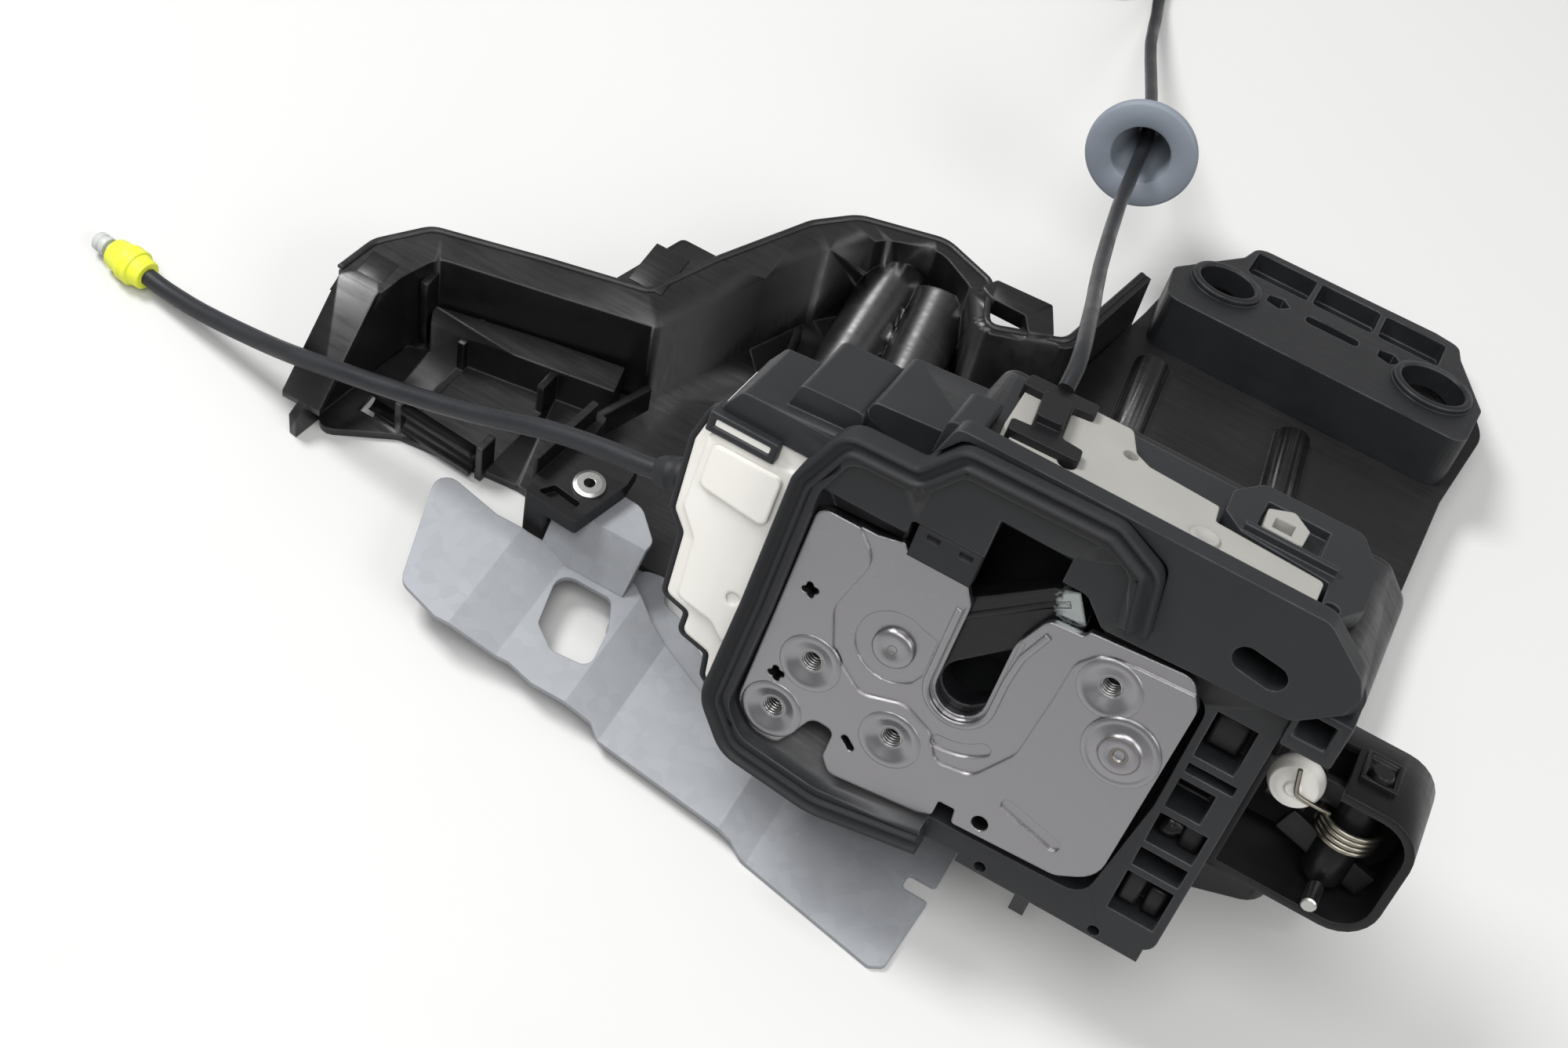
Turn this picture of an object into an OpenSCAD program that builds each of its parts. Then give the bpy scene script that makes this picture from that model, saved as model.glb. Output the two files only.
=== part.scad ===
/* [Whole lock] */
// Lean of the latch behind its plate, off the upright, in degrees
lean = 20; // [16:1:24]
// Height of the latch datum over the surface that the lock lies on
datum_h = 22; // [21:0.5:26]

/* [Latch plate] */
// Thickness of the latch plate
plate_t = 2.5; // [2:0.1:3]
// Width of the striker slot at its seat
slot_w = 12.4; // [11:0.1:13]
// Height of the slot's round seat over the datum
slot_seat_z = 62.8; // [61:0.1:65]
// Core radius of the M6 mounting threads
bolt_r = 2.5; // [2:0.05:3]
// Radius of the extruded collar round each thread
collar_r = 4.4; // [4:0.1:5]
// Depth of a collar behind the plate
collar_h = 4.5; // [3:0.1:6]

/* [Catch and pawl] */
// Thickness of the catch and the pawl
catch_t = 6.4; // [5:0.1:7]
// Radius of the riveted pivots
pivot_r = 4.2; // [3.5:0.1:4.8]
// Radial play of a part that turns on a pin
run_gap = 0.06; // [0.04:0.01:0.1]
// Play between parts that lie beside each other
side_gap = 0.4; // [0.3:0.05:0.6]
// Radius of the catch's hub
catch_hub_r = 10; // [9:0.5:12]
// Reach of the catch's ratchet rim
catch_rim_r = 27; // [25:0.5:29]
// Radius of the pawl's hub
pawl_hub_r = 8; // [7:0.5:9]

/* [Housing] */
// Wall of the plastic housing
wall = 2.2; // [1.8:0.1:3]
// Depth of the housing behind the plate
housing_d = 44; // [42:0.5:48]
// Depth of the pocket that holds the catch and the pawl
pocket_d = 16; // [15:0.5:18]
// Height of the housing's top edge over the datum
housing_top = 126; // [124:0.5:130]
// Depth of the cover on the back
cover_t = 2; // [1.5:0.1:3]

/* [Seal] */
// Width of the rubber seal
seal_w = 5; // [4:0.1:5.6]
// How far the seal stands in front of the plate
seal_proud = 4; // [3:0.5:6]

/* [Actuator] */
// Radius of the motor can
motor_r = 7.6; // [6.6:0.2:7.8]
// Length of the motor can
motor_len = 14.2; // [12:0.2:16]
// Width of the drive pinion
pinion_w = 3.6; // [3:0.2:4.4]
// Gear module of the lock drive
gear_m = 0.7; // [0.64:0.02:0.72]

/* [Key lever] */
// Depth of the key lever's housing
arm_d = 24; // [22:0.5:28]
// Radius of the key lever's hub
key_hub_r = 5; // [4:0.25:5.5]
// Mean radius of the key spring
key_spring_r = 7.2; // [6.6:0.1:8]

/* [Shield] */
// Wall of the shield
shield_wall = 2.4; // [2:0.1:3]
// Height of the shield's flange
flange_h = 34; // [30:0.5:38]
// Height of the raised floor by the handle bracket
deck_h = 14; // [12:0.5:16]
// Bore radius of the smaller handle socket
socket_small_r = 8.6; // [8:0.1:9.2]
// Bore radius of the larger handle socket
socket_large_r = 10; // [9:0.1:10.6]

/* [Sheet bracket] */
// Thickness of the galvanised sheet
sheet_t = 1.5; // [1:0.1:2]
// Step of each joggle in the sheet
joggle = 4; // [3:0.25:5]

/* [Cables] */
// Diameter of the sill cable's conduit
sill_d = 5.2; // [5:0.1:5.6]
// Diameter of the handle cable
handle_d = 4; // [3.8:0.1:4.4]

/* [Hidden] */
$fn = 48;
eps = 0.01;
seat = 0.3;

// places in the latch frame, as [x, z] on the plate's face
catch_at = [-19.5, 65.6];
pawl_at = [36, 70.8];
bolts = [[-11.6, 42], [-35.6, 50.5], [-40, 33], [27.5, 84.2]];
mech_y = plate_t + collar_h - 3.4;
backplate_y = mech_y + catch_t + side_gap;
backplate_t = 2;
backplate_back = backplate_y + backplate_t;
pawl_stud = [23.1, 61.4];
front_wall_y = backplate_back + 11;
rear_y = front_wall_y + wall;
housing_back = housing_d - cover_t;

// a point at a radius and an angle from a centre
function polar(c, r, a) = [c[0] + r * cos(a), c[1] + r * sin(a)];

// the points of an arc about a centre
function arc(c, r, a0, a1, n = 6) = [for (i = [0 : n]) polar(c, r, a0 + (a1 - a0) * i / n)];

// unit vector from one point to another
function dir(a, b) = (b - a) / norm(b - a);

// one corner [x, y, radius] of an outline as the points of its rounding
function corner(a, b, c, n = 5) =
    let (p = [b[0], b[1]], r = len(b) > 2 ? b[2] : 0,
         u = dir(p, [a[0], a[1]]), v = dir(p, [c[0], c[1]]),
         half = acos(max(-1, min(1, u * v))) / 2)
    r <= 0 || half > 88 ? [p] :
    let (reach = min(r / tan(half), 0.49 * norm([a[0], a[1]] - p), 0.49 * norm([c[0], c[1]] - p)),
         rr = reach * tan(half), m = p + (u + v) / norm(u + v) * rr / sin(half),
         s = p + u * reach - m, e = p + v * reach - m,
         a0 = atan2(s[1], s[0]), turn = atan2(s[0] * e[1] - s[1] * e[0], s * e))
    arc(m, rr, a0, a0 + turn, n);

// a closed outline with each corner rounded by its own radius
function rounded(pts, n = 5) =
    [for (i = [0 : len(pts) - 1])
        for (q = corner(pts[(i + len(pts) - 1) % len(pts)], pts[i], pts[(i + 1) % len(pts)], n)) q];

// an open line with its inner corners rounded
function bent(pts, n = 5) =
    [for (i = [0 : len(pts) - 1])
        for (q = i == 0 || i == len(pts) - 1 ? [[pts[i][0], pts[i][1]]]
                 : corner(pts[i - 1], pts[i], pts[i + 1], n)) q];

// a line moved sideways, to its left where d is positive
function beside(pts, d) =
    [for (i = [0 : len(pts) - 1])
        let (u = i == 0 ? dir(pts[0], pts[1]) : dir(pts[i - 1], pts[i]),
             v = i == len(pts) - 1 ? u : dir(pts[i], pts[i + 1]),
             m = (u + v) / norm(u + v), k = max(0.5, m * u))
        pts[i] + [-m[1], m[0]] * d / k];

// an open line of [x, y, radius] moved sideways, its corner radii kept
function shifted(pts, d) =
    let (q = beside([for (p = pts) [p[0], p[1]]], d))
    [for (i = [0 : len(pts) - 1]) [q[i][0], q[i][1], pts[i][2]]];

function reversed(pts) = [for (i = [len(pts) - 1 : -1 : 0]) pts[i]];

// the band between a line and the same line moved sideways
function band(pts, d) = concat(pts, reversed(beside(pts, d)));

// a closed outline made smaller all round, its corner radii kept
function area(p) = let (n = len(p)) [for (i = 0, a = 0; i < n;
    a = a + p[i][0] * p[(i + 1) % n][1] - p[(i + 1) % n][0] * p[i][1], i = i + 1) a][n - 1];
function inset(pts, d) =
    let (n = len(pts), s = area(pts) > 0 ? 1 : -1)
    [for (i = [0 : n - 1])
        let (a = pts[(i + n - 1) % n], b = pts[i], c = pts[(i + 1) % n],
             u = dir([a[0], a[1]], [b[0], b[1]]), v = dir([b[0], b[1]], [c[0], c[1]]),
             m = (u + v) / norm(u + v), q = [b[0], b[1]] + s * [-m[1], m[0]] * d / max(0.4, m * u))
        [q[0], q[1], len(b) > 2 ? b[2] : 0]];

// a curved slot of one width about a centre
function arc_slot(c, r, w, a0, a1) =
    concat(arc(c, r + w / 2, a0, a1, 8), arc(polar(c, r, a1), w / 2, a1, a1 + 180, 6),
           arc(c, r - w / 2, a1, a0, 8), arc(polar(c, r, a0), w / 2, a0 + 180, a0 + 360, 6));

// the striker slot as it is cut in the plate, open at its top
function slot_shape(grow, top) =
    let (r = slot_w / 2 + grow, c = [-1.5, slot_seat_z])
    concat([[c[0] - r, top]], arc(c, r, 180, 360, 12), [[c[0] + r, top]]);

// stands the latch group at its lean over the surface
module latch() {
    translate([0, 0, datum_h]) rotate([-lean, 0, 0]) children();
}

// a flat piece of the latch group from depth y0 to y1
module slab(y0, y1) {
    translate([0, y1, 0]) rotate([90, 0, 0]) linear_extrude(y1 - y0) children();
}

// a round piece across the latch from depth y0 to y1
module disc(at, r, y0, y1, r2 = -1) {
    translate([at[0], y0, at[1]]) rotate([-90, 0, 0])
        cylinder(r1 = r, r2 = r2 < 0 ? r : r2, h = y1 - y0);
}

// a box between two corners
module block(a, b) {
    translate(a) cube(b - a);
}

// a prism of an [x, y] outline from height z0 to z1
module prism(z0, z1, pts) {
    translate([0, 0, z0]) linear_extrude(z1 - z0) polygon(pts);
}

plate_outline = [
    [-47.5, 90.7, 3], [-32.9, 90.7, 4], [-26.5, 92.4, 1], [-25.2, 90.6, 0.6], [-10.4, 90.6, 2.4],
    [-7.7, 86, 3], [-7.7, slot_seat_z], [4.7, slot_seat_z], [4.7, 82, 12], [9, 92.2, 3],
    [17.4, 92.9, 1], [18.2, 94.7, 1], [42.3, 96.9, 4], [46.2, 90, 5], [44.8, 36, 9],
    [36, 30.6, 6], [9.4, 29.3, 1], [8.9, 33.4, 0.6], [4.7, 33.2, 0.6], [4.6, 28.6, 1.5],
    [1.4, 26.9, 4], [-21.6, 24.2, 3], [-24.4, 28, 2], [-24.2, 36.2, 2], [-30, 36.6, 3],
    [-33.6, 29, 1.5], [-36, 24.4, 3], [-42, 24.4, 5], [-48.4, 30.5, 6]
];

// field round the slot, pressed lower than the lands that hold the threads
slot_field = [
    [-36.2, 99, 0], [-36.2, 90.9, 3], [-30.2, 84.5, 6], [-34.8, 68, 7], [-31.1, 57.1, 7], [-22.3, 50.4, 5],
    [-11.9, 54, 5], [-2.9, 49.9, 4], [0.4, 43.6, 3], [8.4, 45, 5], [14.9, 56.1, 8], [16.6, 74, 6],
    [17.4, 86, 5], [21.5, 91.4, 4], [30.4, 93.4, 6], [43.8, 94.2, 0], [44, 99, 0]
];

module latch_plate() {
    color("#9a9696") latch() difference() {
        union() {
            slab(0, plate_t) difference() {
                polygon(rounded(plate_outline));
                polygon(slot_shape(0, slot_seat_z + 1));
            }
            for (b = bolts) disc(b, collar_r, plate_t, plate_t + collar_h);
            disc(pawl_at, 9.1, -0.5, 0);
            // the lip that stiffens the slot's edge
            slab(plate_t - 0.1, plate_t + 1) polygon(band(arc([-1.5, slot_seat_z], slot_w / 2, 180, 360, 12), -1.6));
        }
        for (b = bolts) {
            disc(b, bolt_r, -1, plate_t + collar_h + 1);
            disc(b, 5.6, -eps, 1.2, 3.2);
        }
        disc(catch_at, pivot_r + 0.02, -1, plate_t + 1);
        disc(pawl_at, pivot_r + 0.02, -1, plate_t + 1);
        slab(-1, 0.3) polygon(rounded(slot_field));
        slab(-1, 0.6) polygon(rounded(inset(slot_field, 0.9)));
        // pressed field round the catch's pivot, pointed towards the slot
        slab(-1, 0.9) polygon(concat(arc(catch_at, 9.5, 60, 318, 22), [[-10.9, 62.4]], [[-10.9, 73]]));
        // rolled edge along the slot
        slab(-1, 1) polygon(slot_shape(2, slot_seat_z + 21));
        slab(-1, 1.5) polygon(slot_shape(0.9, slot_seat_z + 22));
        for (z = [43.1, 69.1]) slab(-1, plate_t + 1) translate([-42.2, z]) star_hole();
        disc([15.5, 33.3], 2.1, -1, plate_t + 1);
        slab(-1, plate_t + 1) translate([-20.2, 35.1]) rotate(-40) oval(4.6, 2);
        slab(-1, 1.2) polygon(arc_slot([-1.5, slot_seat_z], 14.8, 3.6, 270, 314));
        slab(-1, 0.7) translate([26, 40]) rotate(-15) oval(17, 3.6);
    }
}

// a hole shaped like a rounded cross
module star_hole() {
    circle(r = 1.5);
    for (a = [20, 110, 200, 290]) rotate(a) translate([1.3, 0]) circle(r = 0.9, $fn = 24);
}

// a slot with round ends, drawn along x
module oval(len, w) {
    square([len - w, w], center = true);
    for (s = [-1, 1]) translate([s * (len - w) / 2, 0]) circle(d = w, $fn = 32);
}

backplate_outline = [
    [-31, 52, 4], [-31, 80, 5], [-10, 84, 2], [-8.6, slot_seat_z], [5.6, slot_seat_z],
    [6, 82, 2], [24, 82, 3], [44, 82, 6], [46, 62, 6], [30, 50, 5], [8, 44, 4], [-20, 45, 4]
];

module back_plate() {
    color("#85827f") latch() difference() {
        slab(backplate_y, backplate_back) difference() {
            polygon(rounded(backplate_outline));
            polygon(slot_shape(0.9, slot_seat_z + 1));
            polygon(arc_slot(pawl_at, norm(pawl_stud - pawl_at), 6.4, 211, 246));
        }
        disc(catch_at, pivot_r + 0.02, 0, housing_d);
        disc(pawl_at, pivot_r + 0.02, 0, housing_d);
    }
}

// a riveted pivot between the latch plate and the back plate
module pivot_pin(at, head, front, tail) {
    disc(at, head, front - 1.3, front, head);
    disc(at, pivot_r, front - eps, backplate_back);
    disc(at, pivot_r + 1.8, plate_t, mech_y - side_gap);
    disc(at, pivot_r + 1, backplate_back, backplate_back + 1.2);
    disc(at, 2.9, backplate_back, tail);
}

module catch_pin() {
    color("#8c8a88") latch() difference() {
        pivot_pin(catch_at, 4.9, 0.9, front_wall_y - 1);
        disc(catch_at, 2, -2, 0.2, 0.6);
    }
}

module pawl_pin() {
    color("#8c8a88") latch() difference() {
        pivot_pin(pawl_at, 4.9, -0.5, front_wall_y - 1);
        disc(pawl_at, 2.4, -3, -0.8, 0.8);
    }
}

// outline of the catch about its pivot: hub, hook, striker mouth and ratchet jaw
catch_outline = let (c = catch_at) concat(
    arc(c, catch_hub_r, 104, 290, 18),
    [polar(c, 19, -62)],
    [polar(c, catch_rim_r + 2.4, -57)],
    arc(c, catch_rim_r + 3.4, -53, -42, 4),
    [polar(c, catch_rim_r + 2.6, -38.5), polar(c, catch_rim_r + 0.3, -33)],
    arc(c, catch_rim_r, -31, -7, 6),
    [[6.9, 63.2], [5.6, 63.3]],
    arc([-1.6, 64.4], 5.9, -42, -222, 10),
    [[16.2, 90.6], [16.6, 93.6], [12.4, 100.6], [6.8, 98.4], [-5.2, 88.6]]
);

module catch() {
    color("#1d1d1f") latch() difference() {
        slab(mech_y, mech_y + catch_t) polygon(catch_outline);
        disc(catch_at, pivot_r + run_gap, 0, housing_d);
    }
}

// the pawl's arm lies from its pivot towards the tooth
pawl_dir = 216;
function pawl_point(along, across) =
    polar(polar(pawl_at, along, pawl_dir), across, pawl_dir - 90);

module pawl() {
    color("#3a3836") latch() difference() {
        union() {
            disc(pawl_at, pawl_hub_r, mech_y, mech_y + catch_t);
            slab(mech_y, mech_y + catch_t) polygon(rounded([
                pawl_corner(0, 7.8, 0), pawl_corner(26, 5, 6), pawl_corner(37, 3.1, 1.6),
                pawl_corner(37.6, -2.6, 2), pawl_corner(28, -6, 6), pawl_corner(0, -7.8, 0)]));
            disc(pawl_stud, 2.6, mech_y + catch_t - eps, rear_y + 6);
        }
        disc(pawl_at, pivot_r + run_gap, 0, housing_d);
    }
}

function pawl_corner(along, across, r) = concat(pawl_point(along, across), [r]);

// a torsion spring of wire about the z axis, with a leg at each end as [angle, length]
module coil_spring(r, wire, turns, leg0, leg1) {
    for (i = [0 : turns - 1]) translate([0, 0, wire * (i + 0.5)])
        rotate_extrude() translate([r, 0]) circle(d = wire * 0.98, $fn = 16);
    for (l = [[leg0, 0.5], [leg1, turns - 0.5]])
        rotate(l[0][0]) translate([r, 0, wire * l[1]]) rotate([-90, 0, 0])
            cylinder(d = wire, h = l[0][1], $fn = 16);
}

module catch_spring() {
    color("#77746f") latch()
        translate([catch_at[0], backplate_back + 1.5, catch_at[1]]) rotate([-90, 0, 0])
            coil_spring(6.6, 1.6, 4, [120, 12], [200, 6.4]);
}

module pawl_spring() {
    color("#77746f") latch()
        translate([pawl_at[0], backplate_back + 1.5, pawl_at[1]]) rotate([-90, 0, 0])
            coil_spring(6.2, 1.4, 5, [80, 11], [300, 6.4]);
}

module bump_stop() {
    color("#141416") latch() difference() {
        union() {
            block([-25.2, -1, 91], [-9.6, mech_y - side_gap, 99.6]);
        }
        for (x = [-21, -13]) block([x - 1.6, -1.2, 97], [x + 1.6, 0, 98.4]);
    }
}

// outline of the housing behind the plate
body_top = 119.5;
housing_outline = [
    [-52, 24, 6], [-24, 20, 6], [0, 19.5, 3], [64, 21.5, 4], [64, 100, 3], [75.5, 104, 6],
    [75.5, 112, 6], [68, body_top, 5], [-27, body_top, 4], [-31, 106, 3], [-52, 106, 3]
];
front_panel = [
    [-52, 96, 0], [-52, 106, 4], [-32, 106, 2], [-26, housing_top, 3], [61, housing_top, 5], [72, 117.4, 5],
    [75.4, 110, 5], [64, 100, 4], [20, 98, 2], [14, 104, 3], [-9.4, 104, 1], [-9.4, 99.8, 0.5],
    [-27, 99.8, 1], [-27, 96, 1]
];
pocket_outline = [
    [-47, 29, 6], [-20, 25, 4], [44, 27, 6], [48, 60, 6], [48, 92, 5], [20, 95, 2], [20, 103, 3],
    [8, 106, 1], [-9.4, 106, 1], [-27, 101, 2], [-27, 92, 1], [-47, 91, 3]
];
rear_outline = [
    [-46, 27, 4], [56, 25, 4], [56, 98, 3], [56, 117, 4], [-24, 117, 4], [-27, 103, 3], [-44, 96, 3]
];

module latch_housing() {
    color("#3f4043") latch() difference() {
        union() {
            slab(plate_t, housing_back) polygon(rounded(housing_outline));
            // rim round the plate that carries the seal
            slab(-seal_proud + 1, plate_t + eps) polygon(concat(bent(seal_path), reversed(bent(seal_rim))));
            // panel over the plate, with its rounded end at the right
            slab(-1, plate_t + 2) polygon(rounded(front_panel));
            // bottom rail
            block([14, plate_t, 17.6], [62, 12, 22]);
            // lids over the actuator's plug and the cable's end, at the upper left
            slab(5, 30) polygon(rounded([[-78.4, case_top + 0.4, 1.5], [-74, 104.6, 2], [-50, 106.4, 0], [-50, case_top + 0.4, 0]]));
            slab(8, 33) polygon(rounded([[-65, 102, 0], [-63, 111.6, 2], [-47, 112.4, 2], [-47, 102, 0]]));
            slab(11, 36) polygon(rounded([[-49, 104, 0], [-47, 114.6, 2], [-26, 116.4, 1], [-26, 104, 0]]));
            slab(5, 20) polygon(rounded([[-30, 114, 0], [-29.4, 123, 2], [-21.6, 124, 1], [-21.6, 114, 0]]));
        }
        // pocket for the catch and the pawl
        slab(plate_t - 1, plate_t + pocket_d) polygon(rounded(pocket_outline));
        for (p = [catch_at, pawl_at]) disc(p, 10.5, plate_t + pocket_d - eps, front_wall_y);
        slab(plate_t, rear_y + 1) polygon(arc_slot(pawl_at, norm(pawl_stud - pawl_at), 6.4, 211, 246));
        // room for the catch's hook when it stands open
        slab(mech_y - 1, mech_y + catch_t + 1) polygon(concat([catch_at], arc(catch_at, 48.6, 20, 97, 16)));
        for (p = screw_places) disc(p, 2.15, housing_d - 10, housing_d);
        // chamber for the release lever
        slab(rear_y, housing_d) polygon(rounded(rear_outline));
        // entry ramp above the slot
        hull() {
            block([-9.4, plate_t + pocket_d - 1, 84], [8, plate_t + pocket_d, 96]);
            block([-9.4, -4, 84], [8, -3, 112]);
        }
        // groove for the seal
        slab(-10, plate_t) polygon(concat(bent(seal_rim), reversed(bent(seal_edge))));
        // oval hole for the key turn and square window beside the plate
        slab(-3, rear_y + 1) translate([53, 108]) rotate(-8) oval(13, 6.4);
        block([50.5, 0, 62], [58, 14, 70]);
        for (x = [20, 50]) disc([x, 19.6], 1.5, 0, 20);
        disc(pawl_at, 3, rear_y - wall - 1, rear_y + 1);
    }
}

seal_path = [
    [22.6, 101.7, 0], [20.4, 114.6, 4], [13.6, 117.8, 4], [-20, 117, 4], [-27, 107.4, 4], [-44, 107, 5], [-48, 96, 6], [-48.4, 60, 0], [-49.6, 30, 8], [-44, 23, 8], [-22, 20.4, 20], [4, 25.4, 0]
];

seal_rim = shifted(seal_path, -2.2);
seal_edge = shifted(seal_path, -2.2 - seal_w);

module seal_lip() {
    color("#2c2d2f") latch()
        slab(-seal_proud, plate_t) polygon(concat(bent(seal_rim), reversed(bent(seal_edge))));
}

module rear_cover() {
    color("#2b2c2e") latch() difference() {
        slab(housing_back, housing_d) polygon(rounded(housing_outline));
        for (p = screw_places) disc(p, 2.2, 0, housing_d + 1);
        disc(pawl_at, 3 + run_gap, 0, housing_d + 1);
    }
}

screw_places = [[-48.5, 40], [-48.5, 100], [61, 30], [61, 96], [66, 114]];

module housing_screws() {
    color("#6f7072") latch() for (p = screw_places) difference() {
        union() {
            disc(p, 3.6, housing_d, housing_d + 2.2, 3);
            disc(p, 2.1, housing_d - 9, housing_d + eps);
        }
        disc(p, 1.5, housing_d + 0.8, housing_d + 3);
    }
}

case_top = 96.8;
case_outline = [
    [-79, 95, 2], [-81, 87, 2], [-80, 67, 3], [-76, 62, 3], [-75, 44, 2], [-68, 42, 2],
    [-68, 36, 2], [-60, 34, 2], [-59, 27, 2], [-54.4, 25, 1], [-52.3, 28, 1], [-52.3, case_top, 1], [-77, case_top, 1.4]
];
case_front = 4;
cover_depth = 4;
gear_at = [-65, 67];
pinion_teeth = 9;
gear_teeth = 26;
pinion_at = [gear_at[0], gear_at[1] - gear_m * (pinion_teeth + gear_teeth) / 2];
gear_y = case_front + cover_depth + 1.6;
case_back = gear_y + pinion_w + side_gap + motor_len + wall;

module actuator_case() {
    color("#e8e8e6") latch() difference() {
        union() {
            slab(case_front + cover_depth, case_back) polygon(rounded(case_outline));
            // boss that the sill cable leaves by
            translate([-79.2, 24.4, 64.2]) rotate([0, 90, 0]) cylinder(r = 5.2, h = 4);
        }
        slab(case_front, case_back - wall) polygon(rounded(inset(case_outline, wall)));
    }
}

module actuator_cover() {
    color("#e6dfd3") latch() difference() {
        union() {
            slab(case_front + cover_depth - wall, case_front + cover_depth) polygon(rounded(case_outline));
            slab(case_front, case_front + cover_depth) polygon(rounded([[-78, 92, 2], [-78, 70, 2],
                [-73, 63, 2], [-72, 46, 2], [-62, 44, 2], [-56, 38, 2], [-55, 92, 2]]));
            slab(case_front - 1.2, case_front + 1) polygon(rounded([[-76, 90, 2], [-76, 78, 2],
                [-58, 76, 2], [-58, 90, 2]]));
            // clip cap along the top edge
            block([-78, case_front - 0.6, 93], [-62, case_front + cover_depth, case_top]);
        }
        slab(case_front + 1.6, case_front + cover_depth + 1) polygon(rounded([[-76, 90, 1], [-76, 70, 1],
            [-71, 63, 1], [-70, 48, 1], [-60, 46, 1], [-57, 44, 1], [-57, 90, 1]]));
        disc([-59, 53], 1.8, case_front - 1, case_front + 0.4);
    }
}

module motor() {
    color("#a9a9a4") latch() difference() {
        union() {
            disc(pinion_at, motor_r, case_back - wall - motor_len, case_back - wall);
            disc(pinion_at, 1, gear_y - 0.6, case_back - wall - motor_len + 1);
        }
        for (s = [-1, 1]) block([pinion_at[0] + s * motor_r - 0.8, 0, pinion_at[1] - 3],
            [pinion_at[0] + s * motor_r + 0.8, case_back, pinion_at[1] + 3]);
    }
}

// outline of a straight-toothed gear with backlash
function gear_points(n, tip_at) =
    let (rp = gear_m * n / 2, w = 360 / n, t = w * 0.2)
    [for (i = [0 : n - 1]) let (a = tip_at + i * w)
        for (q = [[rp - 1.15 * gear_m, -w * 0.3], [rp, -t], [rp + 0.85 * gear_m, -t * 0.5],
                  [rp + 0.85 * gear_m, t * 0.5], [rp, t], [rp - 1.15 * gear_m, w * 0.3]])
            [q[0] * cos(a + q[1]), q[0] * sin(a + q[1])]];

module drive_pinion() {
    color("#c9a24a") latch() difference() {
        slab(gear_y, gear_y + pinion_w) translate(pinion_at) polygon(gear_points(pinion_teeth, 90));
        disc(pinion_at, 1 + run_gap, 0, 20);
    }
}

module lock_gear() {
    color("#d9d6cf") latch() difference() {
        union() {
            slab(gear_y + 0.3, gear_y + pinion_w - 0.3) translate(gear_at) polygon(gear_points(gear_teeth, -90 + 180 / gear_teeth));
            disc(gear_at, 4, gear_y + 0.3, case_back - wall - 4);
            slab(gear_y + pinion_w - 0.6, gear_y + pinion_w + 2.7) polygon(rounded([[-67, 70, 0], [-67.5, 78.6, 2], [-62.5, 78.6, 2], [-63, 70, 0]]));
            disc([-65, 76.6], 1.8, gear_y + pinion_w + 2.4, gear_y + pinion_w + 6.4);
        }
        disc(gear_at, 2 + run_gap, 0, 40);
    }
}

module gear_pin() {
    color("#9b9b98") latch() disc(gear_at, 2, gear_y - 1, case_back - wall);
}

// the beige plate on the housing's top
top_t = 2.5;
top_plate_outline = [
    [-20, 35, 2], [4, 36, 2], [8, 21.5, 2], [12, 19.5, 2], [30, 18.4, 1], [30.4, 14, 1], [55, 12.6, 2],
    [56.4, 7, 1], [56, 4.8, 1], [-5, 4.8, 1], [-14, 5.6, 3], [-19, 12, 3]
];

module cable_plate() {
    color("#a8a49c") latch() difference() {
        union() {
            prism(body_top, body_top + top_t, rounded(top_plate_outline));
            translate([30, 9, body_top + top_t]) cylinder(r = 3.4, h = 0.6);
        }
        translate([-3, 10, 0]) cylinder(r = 2.2, h = 200);
        translate([6, 27, body_top + 1.4]) cube([5, 4, 3]);
    }
}

module cable_clip() {
    z = body_top + top_t;
    color("#26272a") latch() {
        prism(z, z + 4, rounded([[-21, 28.6, 1], [-20.4, 34, 1], [-4, 35, 1], [-3.4, 30.4, 1], [-8.4, 29.4, 1],
            [-6.6, 15, 1], [-1.4, 14.4, 1], [-0.6, 9.6, 1], [-17.6, 8.6, 1], [-18.2, 13.2, 1],
            [-13, 14, 1], [-15.2, 28.8, 1]]));
        prism(z, z + 6, rounded([[-15.6, 27, 1], [-14, 16, 1], [-7.6, 16.6, 1], [-9.2, 27.8, 1]]));
    }
}

frame_outline = [
    [31, 24, 1], [30.6, 33, 3], [36, 41.6, 3], [60, 42, 3], [66, 30, 3], [66.4, 13, 3], [62, 4.8, 2],
    [57.8, 4.8, 1], [57.4, 16.6, 1], [36, 18.8, 1]
];

module lock_frame() {
    color("#3a3b3e") latch() difference() {
        union() {
            prism(body_top, body_top + 4.5, rounded(frame_outline));
            translate([36, 19.4, body_top + 4]) cube([22, 1.6, 2.4]);
        }
        prism(body_top + 2, body_top + 7, [[38.4, 22.2], [53.4, 22.2], [53.4, 35.6], [38.4, 35.6]]);
        translate([60, 8, body_top + 2]) cylinder(r = 1.8, h = 4);
    }
}

module lock_slider() {
    z = body_top + 2 + 0.1;
    color("#b3aea3") latch() difference() {
        prism(z, z + 3.4, rounded([[39.6, 23.2, 1], [39, 31, 1], [44.6, 34.6, 1], [49.2, 30, 1], [49, 23, 1]]));
        prism(z - 1, z + 5, [[41.4, 24.6], [41.4, 29], [46, 29.4], [46, 24.6]]);
    }
}

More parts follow.
